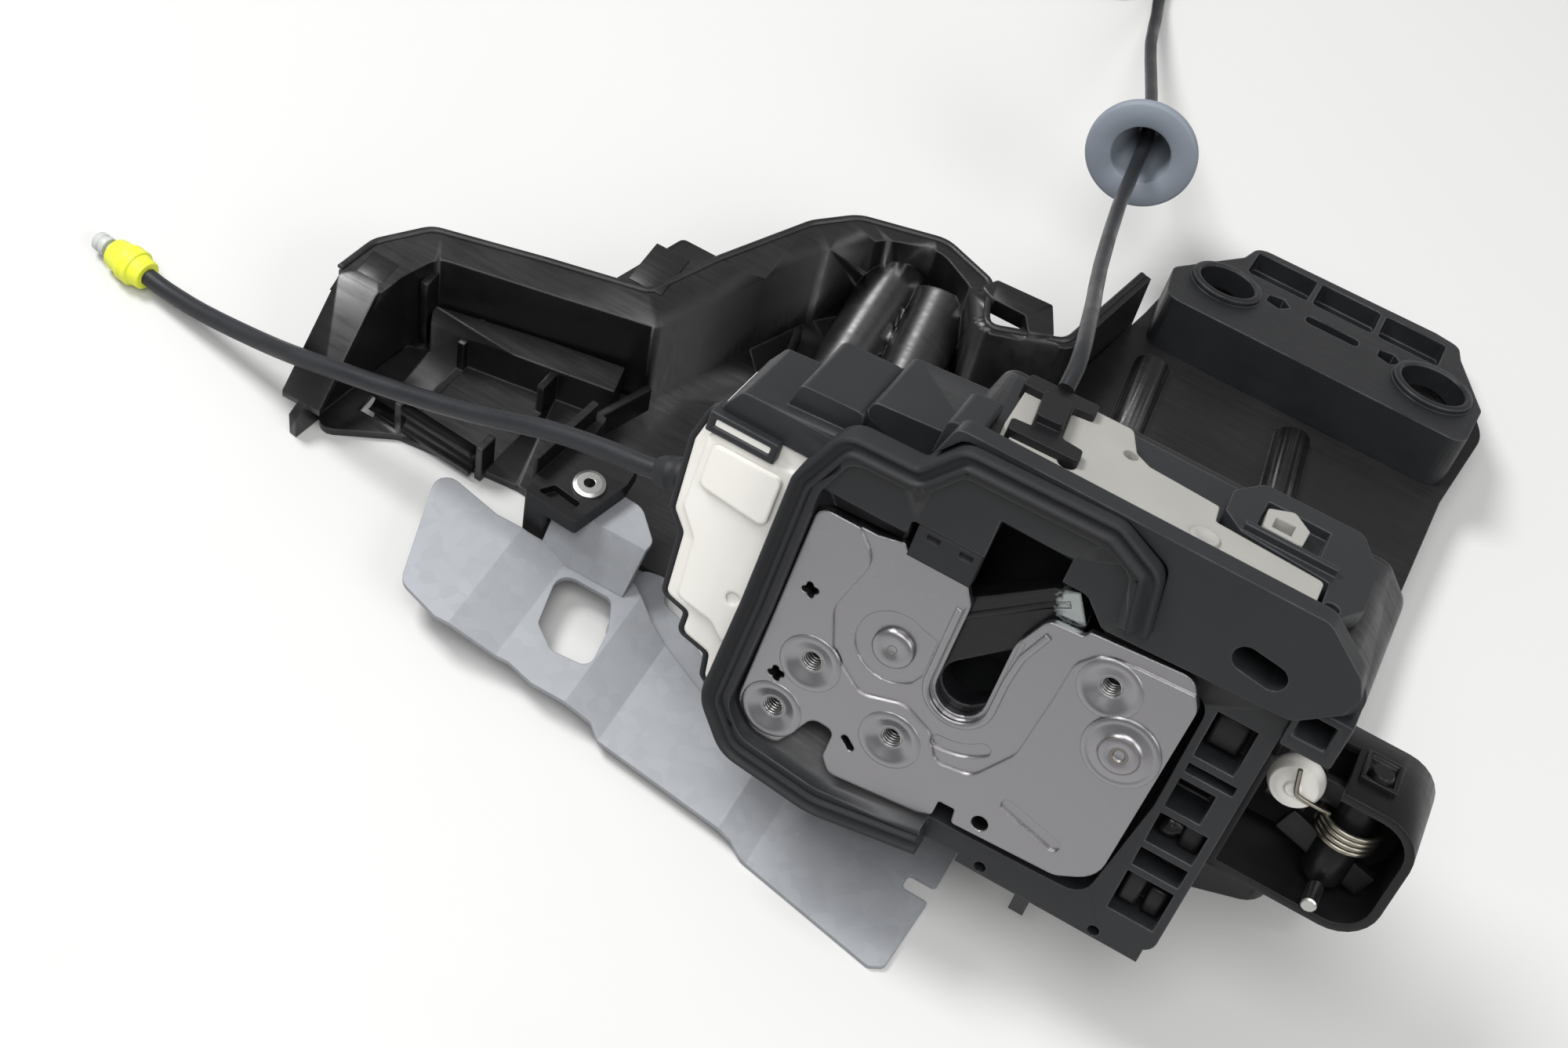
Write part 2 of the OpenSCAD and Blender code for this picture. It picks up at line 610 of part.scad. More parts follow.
module release_lever() {
    color("#6f6c66") latch() difference() {
        union() {
            disc(pawl_at, 7, rear_y + 1, rear_y + 7);
            slab(rear_y + 1, rear_y + 4) polygon(rounded([[29.6, 72.6, 0], [19.4, 65.2, 4], [19.6, 57.6, 5],
                [26, 57, 4], [40, 64.6, 0]]));
            slab(rear_y + 1, rear_y + 4) polygon(rounded([[29.4, 70, 0], [31.4, 104, 3], [30.6, 110, 3],
                [39.6, 110, 3], [40.4, 92, 3], [42.6, 70, 0]]));
        }
        disc(pawl_at, 3 + run_gap, 0, housing_d);
        disc(pawl_stud, 2.9, 0, housing_d);
        disc([35.2, 105], 2.2, 0, housing_d);
    }
}

module release_pin() {
    color("#9b9b98") latch() {
        disc(pawl_at, 3 - 0.02, rear_y - wall, housing_d);
        disc(pawl_at, 5, rear_y, rear_y + 0.9);
    }
}

// open box at the right that holds the key lever
arm_front = housing_back - 3 - arm_d;
arm_back = arm_front + arm_d;
arm_outline = [
    [64.2, 24, 2], [99, 25, 3], [105, 31, 3], [107, 59, 4], [99, 73, 3], [93, 79, 3], [64.2, 79, 2]
];
key_axis = [89, arm_front + 11];

module arm_housing() {
    color("#1b1b1d") latch() difference() {
        union() {
            slab(arm_front, arm_back + wall) polygon(rounded(arm_outline));
            translate([key_axis[0], key_axis[1], 78]) cylinder(r = 6, h = 3);
            // hook at the lower left
            slab(arm_front - 3, arm_front + 4) polygon([[64.2, 25], [72, 25], [72, 21], [64.2, 21]]);
        }
        slab(arm_front - 1, arm_back) difference() {
            polygon(rounded([[66.4, 26.4, 2], [98, 27.2, 3], [102.6, 32, 3], [104.6, 58.6, 4],
                [97, 71, 3], [91.6, 76.6, 3], [66.4, 76.6, 2]]));
            polygon([[78, 33], [103.6, 33], [103.6, 36], [78, 36]]);
        }
        // opening in the back wall
        slab(arm_back - 1, arm_back + wall + 1) polygon(rounded([[70, 42, 3], [80, 42, 3], [80, 60, 3], [70, 60, 3]]));
        translate([key_axis[0], key_axis[1], 20]) cylinder(r = 3 + run_gap, h = 80);
        translate([64, arm_front - 1, 30]) cube([1.2, 6, 30]);
    }
}

module key_lever() {
    color("#2a2a2d") latch() difference() {
        union() {
        translate([key_axis[0], key_axis[1], 36.5]) cylinder(r = key_hub_r, h = 34.6);
        translate([key_axis[0], key_axis[1], 33.4]) cylinder(r = 3, h = 48);
        // blade and the arm to the cap
        slab(key_axis[1] - 1.5, key_axis[1] + 1.5)
            polygon(rounded([[73, 59.4, 2], [99, 49, 2], [99.4, 45, 2], [93, 44, 2], [73, 53.4, 2]]));
        slab(key_axis[1] - 1.5, key_axis[1] + 1.5)
            polygon(rounded([[73.4, 74, 1], [90, 74, 0], [90, 66, 0], [77, 66, 1], [73.4, 68, 1]]));
        translate([key_axis[0] - 2, key_axis[1] - 8, 42]) cube([4, 8, 5]);
        }
        disc([key_axis[0] - 15.6, 70], 2.12, 0, housing_d);
    }
}

module key_knob() {
    color("#e9e7e0") latch() {
        translate([key_axis[0] - 15.6, key_axis[1], 70]) rotate([90, 0, 0]) {
            translate([0, 0, 1.5]) cylinder(r1 = 6.6, r2 = 5.8, h = 4.5);
            translate([0, 0, -4]) cylinder(r = 6, h = 2.5);
            translate([0, 0, -2]) cylinder(r = 2.1, h = 4);
        }
    }
}

module key_spring() {
    color("#8a8578") latch() translate([key_axis[0], key_axis[1], 57.2])
        coil_spring(key_spring_r, 1.6, 5, [0, 12.6], [200, 8]);
}

module key_pin() {
    color("#c4c2bc") latch()
        disc([key_axis[0], 44.5], 1.6, key_axis[1] - 15, key_axis[1] - 8);
}

// lines of the shield seen from above: its flange and its floor
flange_line = [
    [-199, 44, 3], [-192, 84, 6], [-188, 95, 6], [-157, 102, 10], [-126, 109, 4], [-119, 124, 6],
    [-111, 142, 8], [-102, 161, 12], [-90, 175, 12], [-75, 181, 10], [-62, 174, 6], [-54, 160, 5],
    [-41, 165, 6], [-28, 170, 6], [-19.6, 208, 0]
];
flange_edge = [
    [-209, 62, 3], [-205, 90, 8], [-195, 103, 8], [-163, 112, 10], [-135, 119, 4], [-125, 141, 8],
    [-110, 168, 12], [-100, 178, 12], [-75, 185, 10], [-58, 179, 4], [-52, 163.4, 4],
    [-42, 167.6, 6], [-30.4, 172, 6], [-22.2, 208, 0]
];
floor_t = 2.4;
floor_outline = [
    [-199, 46, 4], [-190, 92, 8], [-157, 101, 10], [-127, 108, 3], [-119, 124, 6], [-111, 142, 8],
    [-102, 161, 12], [-90, 175, 12], [-75, 180, 10], [-62, 173, 6], [-56, 162, 5], [-26, 168, 5],
    [-26, 110, 8], [-26, 56, 10], [-100, 60, 6], [-140, 63, 4], [-176, 59, 6]
];
deck_outline = [
    [-28, 56, 6], [-28, 168, 3], [-18, 214, 6], [-14, 240, 6], [78, 241, 8], [85, 230, 10], [82, 200, 10],
    [83, 160, 10], [86, 130, 14], [86, 62, 8], [60, 54, 8]
];

// a plane rib along the depth, drawn as [y, z]
module depth_rib(x0, x1, pts) {
    translate([x0, 0, 0]) rotate([90, 0, 90]) linear_extrude(x1 - x0) polygon(pts);
}

// where the latch's underside and back stand over the surface, as [y, z]
function latch_point(y, z) = [y * cos(lean) + z * sin(lean), datum_h - y * sin(lean) + z * cos(lean)];

module shield() {
    w = shield_wall;
    line = bent(flange_line);
    color("#1c1c1e") difference() {
        union() {
            prism(0, floor_t, rounded(floor_outline));
            prism(0, flange_h, band(line, w));
            prism(flange_h - w, flange_h, concat(line, reversed(bent(flange_edge))));
            // flange's turned-down edge
            prism(flange_h - 5, flange_h, band(bent(flange_edge), -1.6));
            // raised deck with its skirt
            prism(deck_h - w, deck_h, rounded(deck_outline));
            difference() {
                prism(0, deck_h, rounded(deck_outline));
                prism(-1, deck_h + 1, rounded(inset(deck_outline, w)));
            }
            // ledge along the left wall
            prism(floor_t, 15, [[-188, 94], [-157, 101.4], [-133, 106], [-131, 97], [-160, 92], [-185, 88]]);
            // ribs on the floor
            prism(0, 9, band([[-96, 128], [-100, 152]], 2.4));
            // half-round ribs that climb the far wall
            for (r = [[[-86, 127, -1], [-84, 181, 17]], [[-64, 119, -1], [-69, 178, 17]]])
                along(r[0], r[1], 8, 9.6);
            translate([-54, 150, 0]) cylinder(r = 4, h = 12);
            for (x = [-176, -150]) prism(0, 14, band([[x, 60], [x + 3, 98]], 2));
            // half tube at the front edge of the wing
            translate([-187, 61, 7]) rotate([0, 90, -4]) rotate_extrude(angle = 180)
                translate([3.4, 0]) square([2, 34]);
            // cradle ribs that carry the latch
            for (c = [[-34, 1], [30, deck_h - 2]]) depth_rib(c[0], c[0] + 4, [[58, c[1]], latch_point(13, 19) - [0, 24],
                latch_point(13, 19.2), latch_point(housing_d + seat, 19.2), latch_point(housing_d + seat, 62),
                [112, c[1] + 2], [112, c[1]]]);
            // tubes that rise beside the handle bracket
            for (t = [[[-8, 196], 6], [[37, 196], 10]])
                translate([t[0][0], t[0][1], deck_h]) rotate([90, 0, t[1]]) cylinder(r = 5.2, h = 34);
            // hook clip on the far wall
            prism(flange_h - 4, flange_h + 2, rounded([[-59, 174, 1], [-56, 179, 1], [-39, 180, 1], [-34, 170, 1],
                [-40, 166, 1], [-44, 172, 1], [-54, 172, 1]]));
            prism(flange_h - w, flange_h, rounded([[-146, 114, 1], [-137, 141, 2], [-125, 141, 1], [-132, 118, 1]]));
        }
        // the wing's wall slopes down to its tip
        depth_rib(-215, -180, [[40, 5], [76, flange_h - w], [76, flange_h + 1], [40, flange_h + 1]]);
        // slots in the flange and the wing
        prism(flange_h - 6, flange_h + 1, [[-202, 80], [-197, 80], [-196, 86], [-201, 86]]);
        prism(-1, floor_t + 1, [[-190, 60], [-185, 60], [-185, 68], [-190, 68]]);
        prism(flange_h - 6, flange_h + 1, [[-141, 121], [-136, 120], [-132, 132], [-136, 134]]);
        prism(-1, deck_h + 1, rounded([[20, 120, 4], [60, 120, 4], [60, 150, 4], [20, 150, 4]]));
        // the handle sockets go on through the deck
        latch() for (i = [0, 1]) translate([socket_at[i][0], socket_at[i][1], 0])
            cylinder(r = socket_r[i] + 1, h = bracket_top);
        // nothing reaches under the surface
        translate([-150, 60, -20]) cube([140, 160, 20]);
    }
    // sloping flange of the wing
    color("#1c1c1e") depth_rib(-206, -194, [[48, 9], [76, flange_h - 2 * w], [78, flange_h - w],
        [76, flange_h - w], [76, flange_h], [74.4, flange_h], [48, 11.4]]);
}

bracket_top = 79;
bracket_outline = [
    [-14, 194, 5], [-17, 212, 6], [-1, 240, 4], [1, 251, 5], [60, 252.6, 5], [68, 251, 4], [70, 243, 3],
    [81, 218, 5], [80, 194, 5]
];
socket_at = [[-1, 216.5], [65.4, 216.5]];
socket_r = [socket_small_r, socket_large_r];

module handle_bracket() {
    color("#4a4b4e") intersection() {
        latch() difference() {
            union() {
                prism(bracket_top - 20, bracket_top, rounded(bracket_outline));
                for (i = [0, 1]) translate([socket_at[i][0], socket_at[i][1], bracket_top - 20])
                    cylinder(r = socket_r[i] + 2.2, h = 21.4);
            }
            for (i = [0, 1]) translate([socket_at[i][0], socket_at[i][1], bracket_top - 40])
                cylinder(r = socket_r[i], h = 80);
            for (x = [2, 23.4, 44.8]) prism(bracket_top - 6, bracket_top + 1,
                rounded([[x, 232, 1.5], [x + 19.6, 232, 1.5], [x + 19.6, 248, 1.5], [x, 248, 1.5]]));
            prism(bracket_top - 4, bracket_top + 1, rounded([[24, 219, 1.6], [41, 219, 1.6], [41, 224, 1.6], [24, 224, 1.6]]));
            for (x = [14.5, 50.5]) translate([x, 222.5, bracket_top - 4]) cylinder(r = 4, h = 6, $fn = 5);
        }
        depth_rib(-30, 100, [[200, deck_h], [243, deck_h], [243, 4], [275, 4], [275, 50], [200, 50]]);
    }
}

// the sheet steps down by joggles towards its right end
sheet_high = 3 * joggle;
sheet_lines = [[-128, -114], [-92, -80], [-42, -32]];

// height of the sheet's underside at x
function step_drop(x, l) = joggle * min(1, max(0, (x - l[0]) / (l[1] - l[0])));
function sheet_z(x) = sheet_high - step_drop(x, sheet_lines[0]) - step_drop(x, sheet_lines[1]) - step_drop(x, sheet_lines[2]);
sheet_xs = [-160, -128, -114, -92, -80, -42, -32, 14];

rivet_at = [-116.6, 58.5];
flap_z = 20;

module sheet_bracket() {
    color("#8f9599") difference() {
        union() {
            intersection() {
                translate([0, 80, 0]) rotate([90, 0, 0]) linear_extrude(100)
                    polygon(concat([for (x = sheet_xs) [x, sheet_z(x)]],
                        [for (i = [len(sheet_xs) - 1 : -1 : 0]) [sheet_xs[i], sheet_z(sheet_xs[i]) + sheet_t]]));
                prism(-5, 40, rounded(sheet_outline));
            }
            // flap that rises to the holder
            intersection() {
                depth_rib(-122, -94, band([[44.6, 8], [53.6, flap_z], [66, flap_z]], sheet_t));
                prism(0, 40, rounded([[-122, 44, 0], [-122, 65, 3], [-103, 64, 6], [-95, 56, 3], [-96, 44, 0]]));
            }
        }
        prism(-5, 40, rounded([[-114, 42, 4], [-98, 42, 3], [-94, 34, 3], [-92, 21, 3], [-103, 20, 3], [-110, 25, 3]]));
        translate([rivet_at[0], rivet_at[1], -5]) cylinder(r = 2.6, h = 40);
    }
}

sheet_outline = [
    [-145, 14, 5], [-132, 10, 3], [-110, 11, 3], [-102, 9, 2], [-84, 9, 2], [-80, 6, 2],
    [-38, 1, 2], [-34, -1, 2], [7, -9, 2], [10.6, -7, 2], [12, 14.4, 1], [4.4, 14.4, 1.4], [4.4, 19, 1.4], [12, 19, 1],
    [12, 34, 3], [-24, 29, 3], [-40, 22, 4], [-67, 34, 3], [-86, 43, 2], [-96, 50, 3],
    [-126, 45.6, 2], [-136, 45.4, 2], [-157, 50, 4]
];

module sheet_liner() {
    color("#6b7075") prism(floor_t + 0.2, floor_t + 1.4, rounded([[-98, 58, 3], [-91, 59.4, 2], [-87, 52, 2],
        [-80, 50, 3], [-70, 43, 3], [-64, 33, 3], [-74, 26, 3], [-96, 36, 3]]));
}

holder_top = 27;

module sheet_holder() {
    color("#232427") difference() {
        union() {
            prism(floor_t, holder_top, rounded([[-130, 60, 1], [-130, 80, 1], [-124, 80, 1], [-124, 60, 1]]));
            prism(8, holder_top, rounded([[-129.6, 47.6, 1], [-122.6, 47.2, 1], [-122.6, 72, 0], [-129.6, 72, 1]]));
            prism(flap_z + sheet_t + 0.1, holder_top, rounded([[-129.6, 47.6, 1], [-113.4, 46.6, 1], [-108.5, 64, 2],
                [-109, 72, 2], [-129.6, 72, 1]]));
            prism(holder_top - 4, holder_top + 7, rounded([[-131.6, 54, 0.6], [-129.6, 53.6, 0.6], [-126, 78, 0.6],
                [-128, 78, 0.6]]));
        }
        prism(holder_top - 3, holder_top + 1, rounded([[-127, 49.6, 0.6], [-124, 53.6, 0.6], [-115.4, 52.4, 0.6],
            [-116, 49, 0.6]]));
        prism(7, holder_top - 5, [[-128, 49.2], [-124.2, 49.2], [-124.2, 60], [-128, 60]]);
        translate([rivet_at[0], rivet_at[1], -5]) cylinder(r = 2.6, h = 40);
    }
}

module sheet_rivet() {
    z0 = flap_z;
    z1 = holder_top;
    color("#b9b9b7") translate([rivet_at[0], rivet_at[1], 0]) rotate_extrude()
        polygon([[1.5, z0 - 1], [3.8, z0 - 1], [3.8, z0], [2.5, z0], [2.5, z1], [4.6, z1],
            [4.4, z1 + 0.8], [3.4, z1 + 1.2], [1.5, z1 + 1.2]]);
}

// points chosen by hand along each cable
sill_route = [
    [-81, 45, 74], [-92, 44, 70], [-108, 46, 64], [-126, 48, 56], [-148, 49, 45], [-170, 50, 36],
    [-190, 51, 29], [-206, 53, 22], [-222, 56, 15], [-240, 59, 9], [-254, 61.5, 6], [-262, 63, 5.4]
];
handle_route = [
    [-12.5, 76.2, 128], [-13, 83, 128.4], [-14.6, 92, 125.6], [-17, 104, 119], [-20.5, 123, 106], [-27, 156, 84], [-35, 201, 62],
    [-40, 238, 49], [-45, 262, 40], [-54, 292, 27], [-62, 318, 16], [-67.4, 342, 6.6], [-70.4, 353, 3.6],
    [-71.6, 359.4, 2.8]
];

// a tube swept along a list of points
function tangent(p, i) = let (n = len(p) - 1) dir(p[max(0, i - 1)], p[min(n, i + 1)]);
function ring(p, i, r, n) =
    let (t = tangent(p, i), s = cross(t, [0, 0, 1]), u = s / norm(s), v = cross(u, t))
    [for (k = [0 : n - 1]) p[i] + r * (cos(360 * k / n) * u + sin(360 * k / n) * v)];

module tube(p, d, n) {
    m = len(p);
    polyhedron(
        points = [for (i = [0 : m - 1]) for (q = ring(p, i, d / 2, n)) q],
        faces = concat([[for (k = [n - 1 : -1 : 0]) k]],
            [for (i = [0 : m - 2]) for (k = [0 : n - 1])
                [i * n + k, i * n + (k + 1) % n, (i + 1) * n + (k + 1) % n, (i + 1) * n + k]],
            [[for (k = [0 : n - 1]) (m - 1) * n + k]]));
}

// points between the chosen ones, on a smooth curve through them
function smooth(p, n) = let (m = len(p) - 1)
    concat([for (i = [0 : m - 1]) for (k = [0 : n - 1])
        let (a = p[max(0, i - 1)], b = p[i], c = p[i + 1], d = p[min(m, i + 2)], t = k / n)
        0.5 * (2 * b + (c - a) * t + (2 * a - 5 * b + 4 * c - d) * t * t + (3 * b - a - 3 * c + d) * t * t * t)],
        [p[m]]);

module sill_cable() {
    color("#26282c") tube(smooth(sill_route, 2), sill_d, 8);
}

// a round piece along a cable from one point to the next
module along(a, b, r1, r2) {
    v = b - a;
    translate(a) rotate([0, acos(v[2] / norm(v)), atan2(v[1], v[0])]) cylinder(r1 = r1, r2 = r2, h = norm(v));
}

sill_out = dir(sill_route[len(sill_route) - 2], sill_route[len(sill_route) - 1]);
sill_end = sill_route[len(sill_route) - 1];

module sill_ferrule() {
    color("#d6de3a") turned(sill_end, sill_out, [[0, 0.4], [4.4, 0.4], [4.8, 4.6], [5.6, 5], [5.6, 7],
        [3.6, 7.2], [3.2, 11], [0, 11]]);
}

module sill_tip() {
    color("#b8bbb8") {
        along(sill_end + sill_out * 11, sill_end + sill_out * 22, 1.3, 1.3);
        along(sill_end + sill_out * 20, sill_end + sill_out * 27, 2.6, 2.2);
    }
}

module sill_sleeve() {
    b = sill_d / 2 + 0.6;
    color("#202124") turned(sill_route[0], dir(sill_route[0], sill_route[1]),
        [[b, 0.4], [5.2, 0.4], [5.2, 2], [4.4, 2.4], [4, 9], [b, 9]]);
}

module handle_cable() {
    color("#4a4b4d") tube(smooth(handle_route, 2), handle_d, 8);
}

grommet_at = handle_route[7];
grommet_dir = dir(handle_route[6], handle_route[8]);

// a turned piece about the line from a point in a direction
module turned(at, u, profile) {
    translate(at) rotate([0, acos(u[2]), atan2(u[1], u[0])]) rotate_extrude() polygon(profile);
}

module grommet() {
    b = handle_d / 2 + 0.8;
    color("#7a8088") turned(grommet_at, grommet_dir, [[8.8, -4], [10.6, -4], [11.6, -1], [11.6, 1],
        [8.4, 1.4], [7.4, 6], [6.4, 6.4], [5, 14], [4.4, 14.4], [3.6, 20], [b, 20], [b, 4], [5.4, 3]]);
}

// the cable's unseen end lies in two turns, with half a turn on top
coil_r = 24;
coil_at = [-99.1, 372];

module handle_coil() {
    color("#4a4b4d") translate([coil_at[0], coil_at[1], 0]) {
        rotate_extrude() translate([coil_r, 0])
            polygon(rounded([[-4.3, 0.1, 2], [-4.3, 4.4, 2], [4.3, 4.4, 2], [4.3, 0.1, 2]]));
        rotate_extrude(angle = 180) translate([coil_r, 0])
            polygon([[-1.8, 4], [-1.8, 7.6], [1.8, 7.6], [1.8, 4]]);
    }
}

module handle_end() {
    a = [coil_at[0] - coil_r, coil_at[1] - 0.4, 8.2];
    color("#b8bbb8") {
        along(a, a + [0, -9, -0.4], 3.1, 3.1);
        along(a + [0, -9, -0.4], a + [0, -20, -1.2], 2.2, 1.8);
    }
}

latch_plate();
back_plate();
catch_pin();
pawl_pin();
catch();
pawl();
catch_spring();
pawl_spring();
bump_stop();
latch_housing();
rear_cover();
housing_screws();
seal_lip();
actuator_case();
actuator_cover();
motor();
drive_pinion();
lock_gear();
gear_pin();
cable_plate();
cable_clip();
lock_frame();
lock_slider();
release_lever();
release_pin();
arm_housing();
key_lever();
key_knob();
key_spring();
key_pin();
shield();
handle_bracket();
sheet_holder();
sheet_bracket();
sheet_liner();
sheet_rivet();
sill_cable();
sill_sleeve();
sill_ferrule();
sill_tip();
handle_cable();
grommet();
handle_coil();
handle_end();
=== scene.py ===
# %% [markdown]
# # A car door lock, dressed for its picture
# The lock's solids come from a CAD model, and this lesson gives them light, finishes and fine detail.
# All sizes are real. The lock's lengths are written in millimetres and turned into metres for Blender.
# The camera, the table and the lamps are placed in metres.

# %% Load the solid model
import math

import bpy
from mathutils import Matrix, Vector


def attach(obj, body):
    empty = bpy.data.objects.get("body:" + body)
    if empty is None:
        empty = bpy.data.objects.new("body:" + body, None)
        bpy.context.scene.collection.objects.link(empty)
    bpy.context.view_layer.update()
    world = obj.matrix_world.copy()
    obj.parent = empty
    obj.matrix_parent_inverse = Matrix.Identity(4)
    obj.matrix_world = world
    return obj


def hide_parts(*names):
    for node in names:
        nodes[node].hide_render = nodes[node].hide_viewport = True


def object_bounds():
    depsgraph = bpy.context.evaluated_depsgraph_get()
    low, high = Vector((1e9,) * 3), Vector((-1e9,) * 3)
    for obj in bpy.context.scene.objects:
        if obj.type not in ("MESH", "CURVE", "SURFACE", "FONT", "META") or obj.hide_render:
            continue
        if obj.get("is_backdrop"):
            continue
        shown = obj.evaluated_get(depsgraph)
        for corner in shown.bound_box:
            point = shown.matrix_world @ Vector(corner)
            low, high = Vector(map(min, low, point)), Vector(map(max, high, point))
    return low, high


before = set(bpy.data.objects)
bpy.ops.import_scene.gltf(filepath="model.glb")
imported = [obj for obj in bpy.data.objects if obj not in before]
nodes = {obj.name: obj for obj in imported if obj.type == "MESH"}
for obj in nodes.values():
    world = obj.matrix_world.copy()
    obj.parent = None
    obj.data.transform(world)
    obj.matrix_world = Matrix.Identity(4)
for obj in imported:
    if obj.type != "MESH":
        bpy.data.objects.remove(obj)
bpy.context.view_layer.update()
MM = 0.001

# %% [markdown]
# ## The latch's own frame
# The latch leans back 20 degrees on the shield, so its plate is drawn upright and then leaned.
# One matrix does that for every piece of the latch, as the CAD source does.
# A finished piece keeps its place in its mesh and its object stays at the origin, as the CAD nodes do.

# %% The latch frame, and a helper that leaves a piece's object at the origin
LEAN_DEGREES = -20
FOOT_HEIGHT = 22
LEAN = Matrix.Translation((0, 0, FOOT_HEIGHT * MM)) @ Matrix.Rotation(math.radians(LEAN_DEGREES), 4, "X")
TO_THE_FRONT = LEAN.to_3x3() @ Vector((0, -1, 0))
TO_THE_BACK = LEAN.to_3x3() @ Vector((0, 1, 0))
UPWARDS = LEAN.to_3x3() @ Vector((0, 0, 1))


def in_latch(x, y, z):
    return LEAN @ Vector((x * MM, y * MM, z * MM))


def face_on(depth):
    return LEAN @ Matrix.Translation((0, depth * MM, 0)) @ Matrix.Rotation(math.radians(90), 4, "X")


def at_origin(piece, turn=Matrix.Identity(4)):
    bpy.context.view_layer.update()
    piece.data.transform(turn @ piece.matrix_world)
    piece.matrix_world = Matrix.Identity(4)
    return piece


print("the plate's middle lies at", [round(v, 4) for v in in_latch(0, 0, 60)])

# %% [markdown]
# ## The camera
# A product shot from a steep angle: the camera stands in front and above.
# It is turned and rolled so that the plate's width runs about 30 degrees off the picture's lower edge.
# Its place was solved from the plate's upright edges, the round sockets and the surface they stand over.

# %% Camera
CAMERA_PLACE = (0.034, -0.2631, 0.525)
CAMERA_RIGHT = Vector((0.867, 0.476, 0.147))
CAMERA_UP = Vector((-0.469, 0.682, 0.562))
CAMERA_BACK = Vector((0.167, -0.556, 0.814))
camera = bpy.data.objects.new("camera", bpy.data.cameras.new("camera"))
bpy.context.scene.collection.objects.link(camera)
camera_turn = Matrix((CAMERA_RIGHT, CAMERA_UP, CAMERA_BACK)).transposed().to_4x4()
camera.matrix_world = Matrix.Translation(CAMERA_PLACE) @ camera_turn
camera.data.sensor_width = 36
camera.data.lens = 53.62
camera.data.clip_start = 0.02
camera.data.clip_end = 20
bpy.context.scene.camera = camera
print("camera stands", round(camera.location.length, 3), "m from the frame's origin")

# %% [markdown]
# ## The two cables
# Each is a Bowden cable: a wire in a plastic sheath. It is stiff, so it keeps wide bends and stands free near
# its ends.
# The routes repeat the CAD source's points, and a poly curve with a round bevel follows them.
# The grey cable's end isn't in the picture, so its last length is wound into two and a half turns with a tie.


# %% A smooth line through given points
def smooth(points, steps):
    points = [Vector(p) for p in points]
    made = []
    for i in range(len(points) - 1):
        a, b = points[max(0, i - 1)], points[i]
        c, d = points[i + 1], points[min(len(points) - 1, i + 2)]
        for k in range(steps):
            t = k / steps
            square = (2 * a - 5 * b + 4 * c - d) * t * t
            cube = (3 * b - a - 3 * c + d) * t**3
            made.append(0.5 * (2 * b + (c - a) * t + square + cube))
    return made + [points[-1]]


def line_length(points):
    return sum((b - a).length for a, b in zip(points, points[1:]))


# %% The curve that every wire, sheath and moulded strip starts from
def line_curve(name, points_mm, closed=False):
    data = bpy.data.curves.new(name, "CURVE")
    data.dimensions = "3D"
    data.use_fill_caps = True
    spline = data.splines.new("POLY")
    spline.points.add(len(points_mm) - 1)
    for point, place in zip(spline.points, points_mm):
        point.co = (*(Vector((*place, 0)[:3]) * MM), 1)
    spline.use_cyclic_u = closed
    piece = bpy.data.objects.new(name, data)
    bpy.context.scene.collection.objects.link(piece)
    return piece


def round_curve(name, points_mm, radius_mm, resolution=3):
    piece = line_curve(name, points_mm)
    piece.data.bevel_depth = radius_mm * MM
    piece.data.bevel_resolution = resolution
    return piece


# %% Sill cable, from the actuator to its yellow ferrule
SILL_RADIUS = 2.6
sill_route = [[-81, 45, 74], [-92, 44, 70], [-108, 46, 64], [-126, 48, 56], [-148, 49, 45], [-170, 50, 36],
              [-190, 51, 29], [-206, 53, 22], [-222, 56, 15], [-240, 59, 9], [-254, 61.5, 6], [-262, 63, 5.4]]
sill_line = smooth(sill_route, 3)
sill_cable = round_curve("sill_cable_sheath", sill_line, SILL_RADIUS)
print("sill cable is", round(line_length(sill_line)), "mm long")

# %% Handle cable, with its coil
HANDLE_RADIUS = 2
COIL_MIDDLE = Vector((-99.1, 372, 0))
COIL_RADIUS = 24
COIL_TURNS = 2.5
STEPS_IN_A_TURN = 20
SIDE_STEP = 2.15
COIL_HEIGHT = 2.2
TOP_RISE = 3.7
END_RISE = 1.6
handle_route = [[-12.5, 76.2, 128], [-13, 83, 128.4], [-14.6, 92, 125.6], [-17, 104, 119], [-20.5, 123, 106],
                [-27, 156, 84], [-35, 201, 62], [-40, 238, 49], [-45, 262, 40], [-54, 292, 27],
                [-62, 318, 16], [-67.4, 342, 6.6], [-70.4, 353, 3.6], [-71.6, 359.4, 2.8]]
coil_entry = [-72.4, 366, 2.3]


def ramp(value, start, length):
    return min(1, max(0, (value - start) / length))


# %% The coil: its second turn lies inside the first, the last half turn lies on both, and its end lifts
INSIDE_FROM = (0.85, 0.3)
ON_TOP_FROM = (1.85, 0.3)
END_LIFTS_FROM = (2.3, 0.2)
coil_line = []
for step in range(round(COIL_TURNS * STEPS_IN_A_TURN) + 1):
    turns = step / STEPS_IN_A_TURN
    inside = ramp(turns, *INSIDE_FROM)
    on_top = ramp(turns, *ON_TOP_FROM)
    end_lift = ramp(turns, *END_LIFTS_FROM)
    radius = COIL_RADIUS + SIDE_STEP - 2 * SIDE_STEP * inside + SIDE_STEP * on_top
    height = COIL_HEIGHT + TOP_RISE * on_top + END_RISE * end_lift
    angle = turns * math.tau
    coil_line.append(COIL_MIDDLE + Vector((radius * math.cos(angle), radius * math.sin(angle), height)))
into_coil = smooth([handle_route[-1], coil_entry, list(coil_line[0])], 2)[1:-1]
handle_line = smooth(handle_route, 2) + into_coil + coil_line
handle_cable = round_curve("handle_cable_sheath", handle_line, HANDLE_RADIUS)
print("handle cable is", round(line_length(handle_line)), "mm long, its coil", round(line_length(coil_line)))

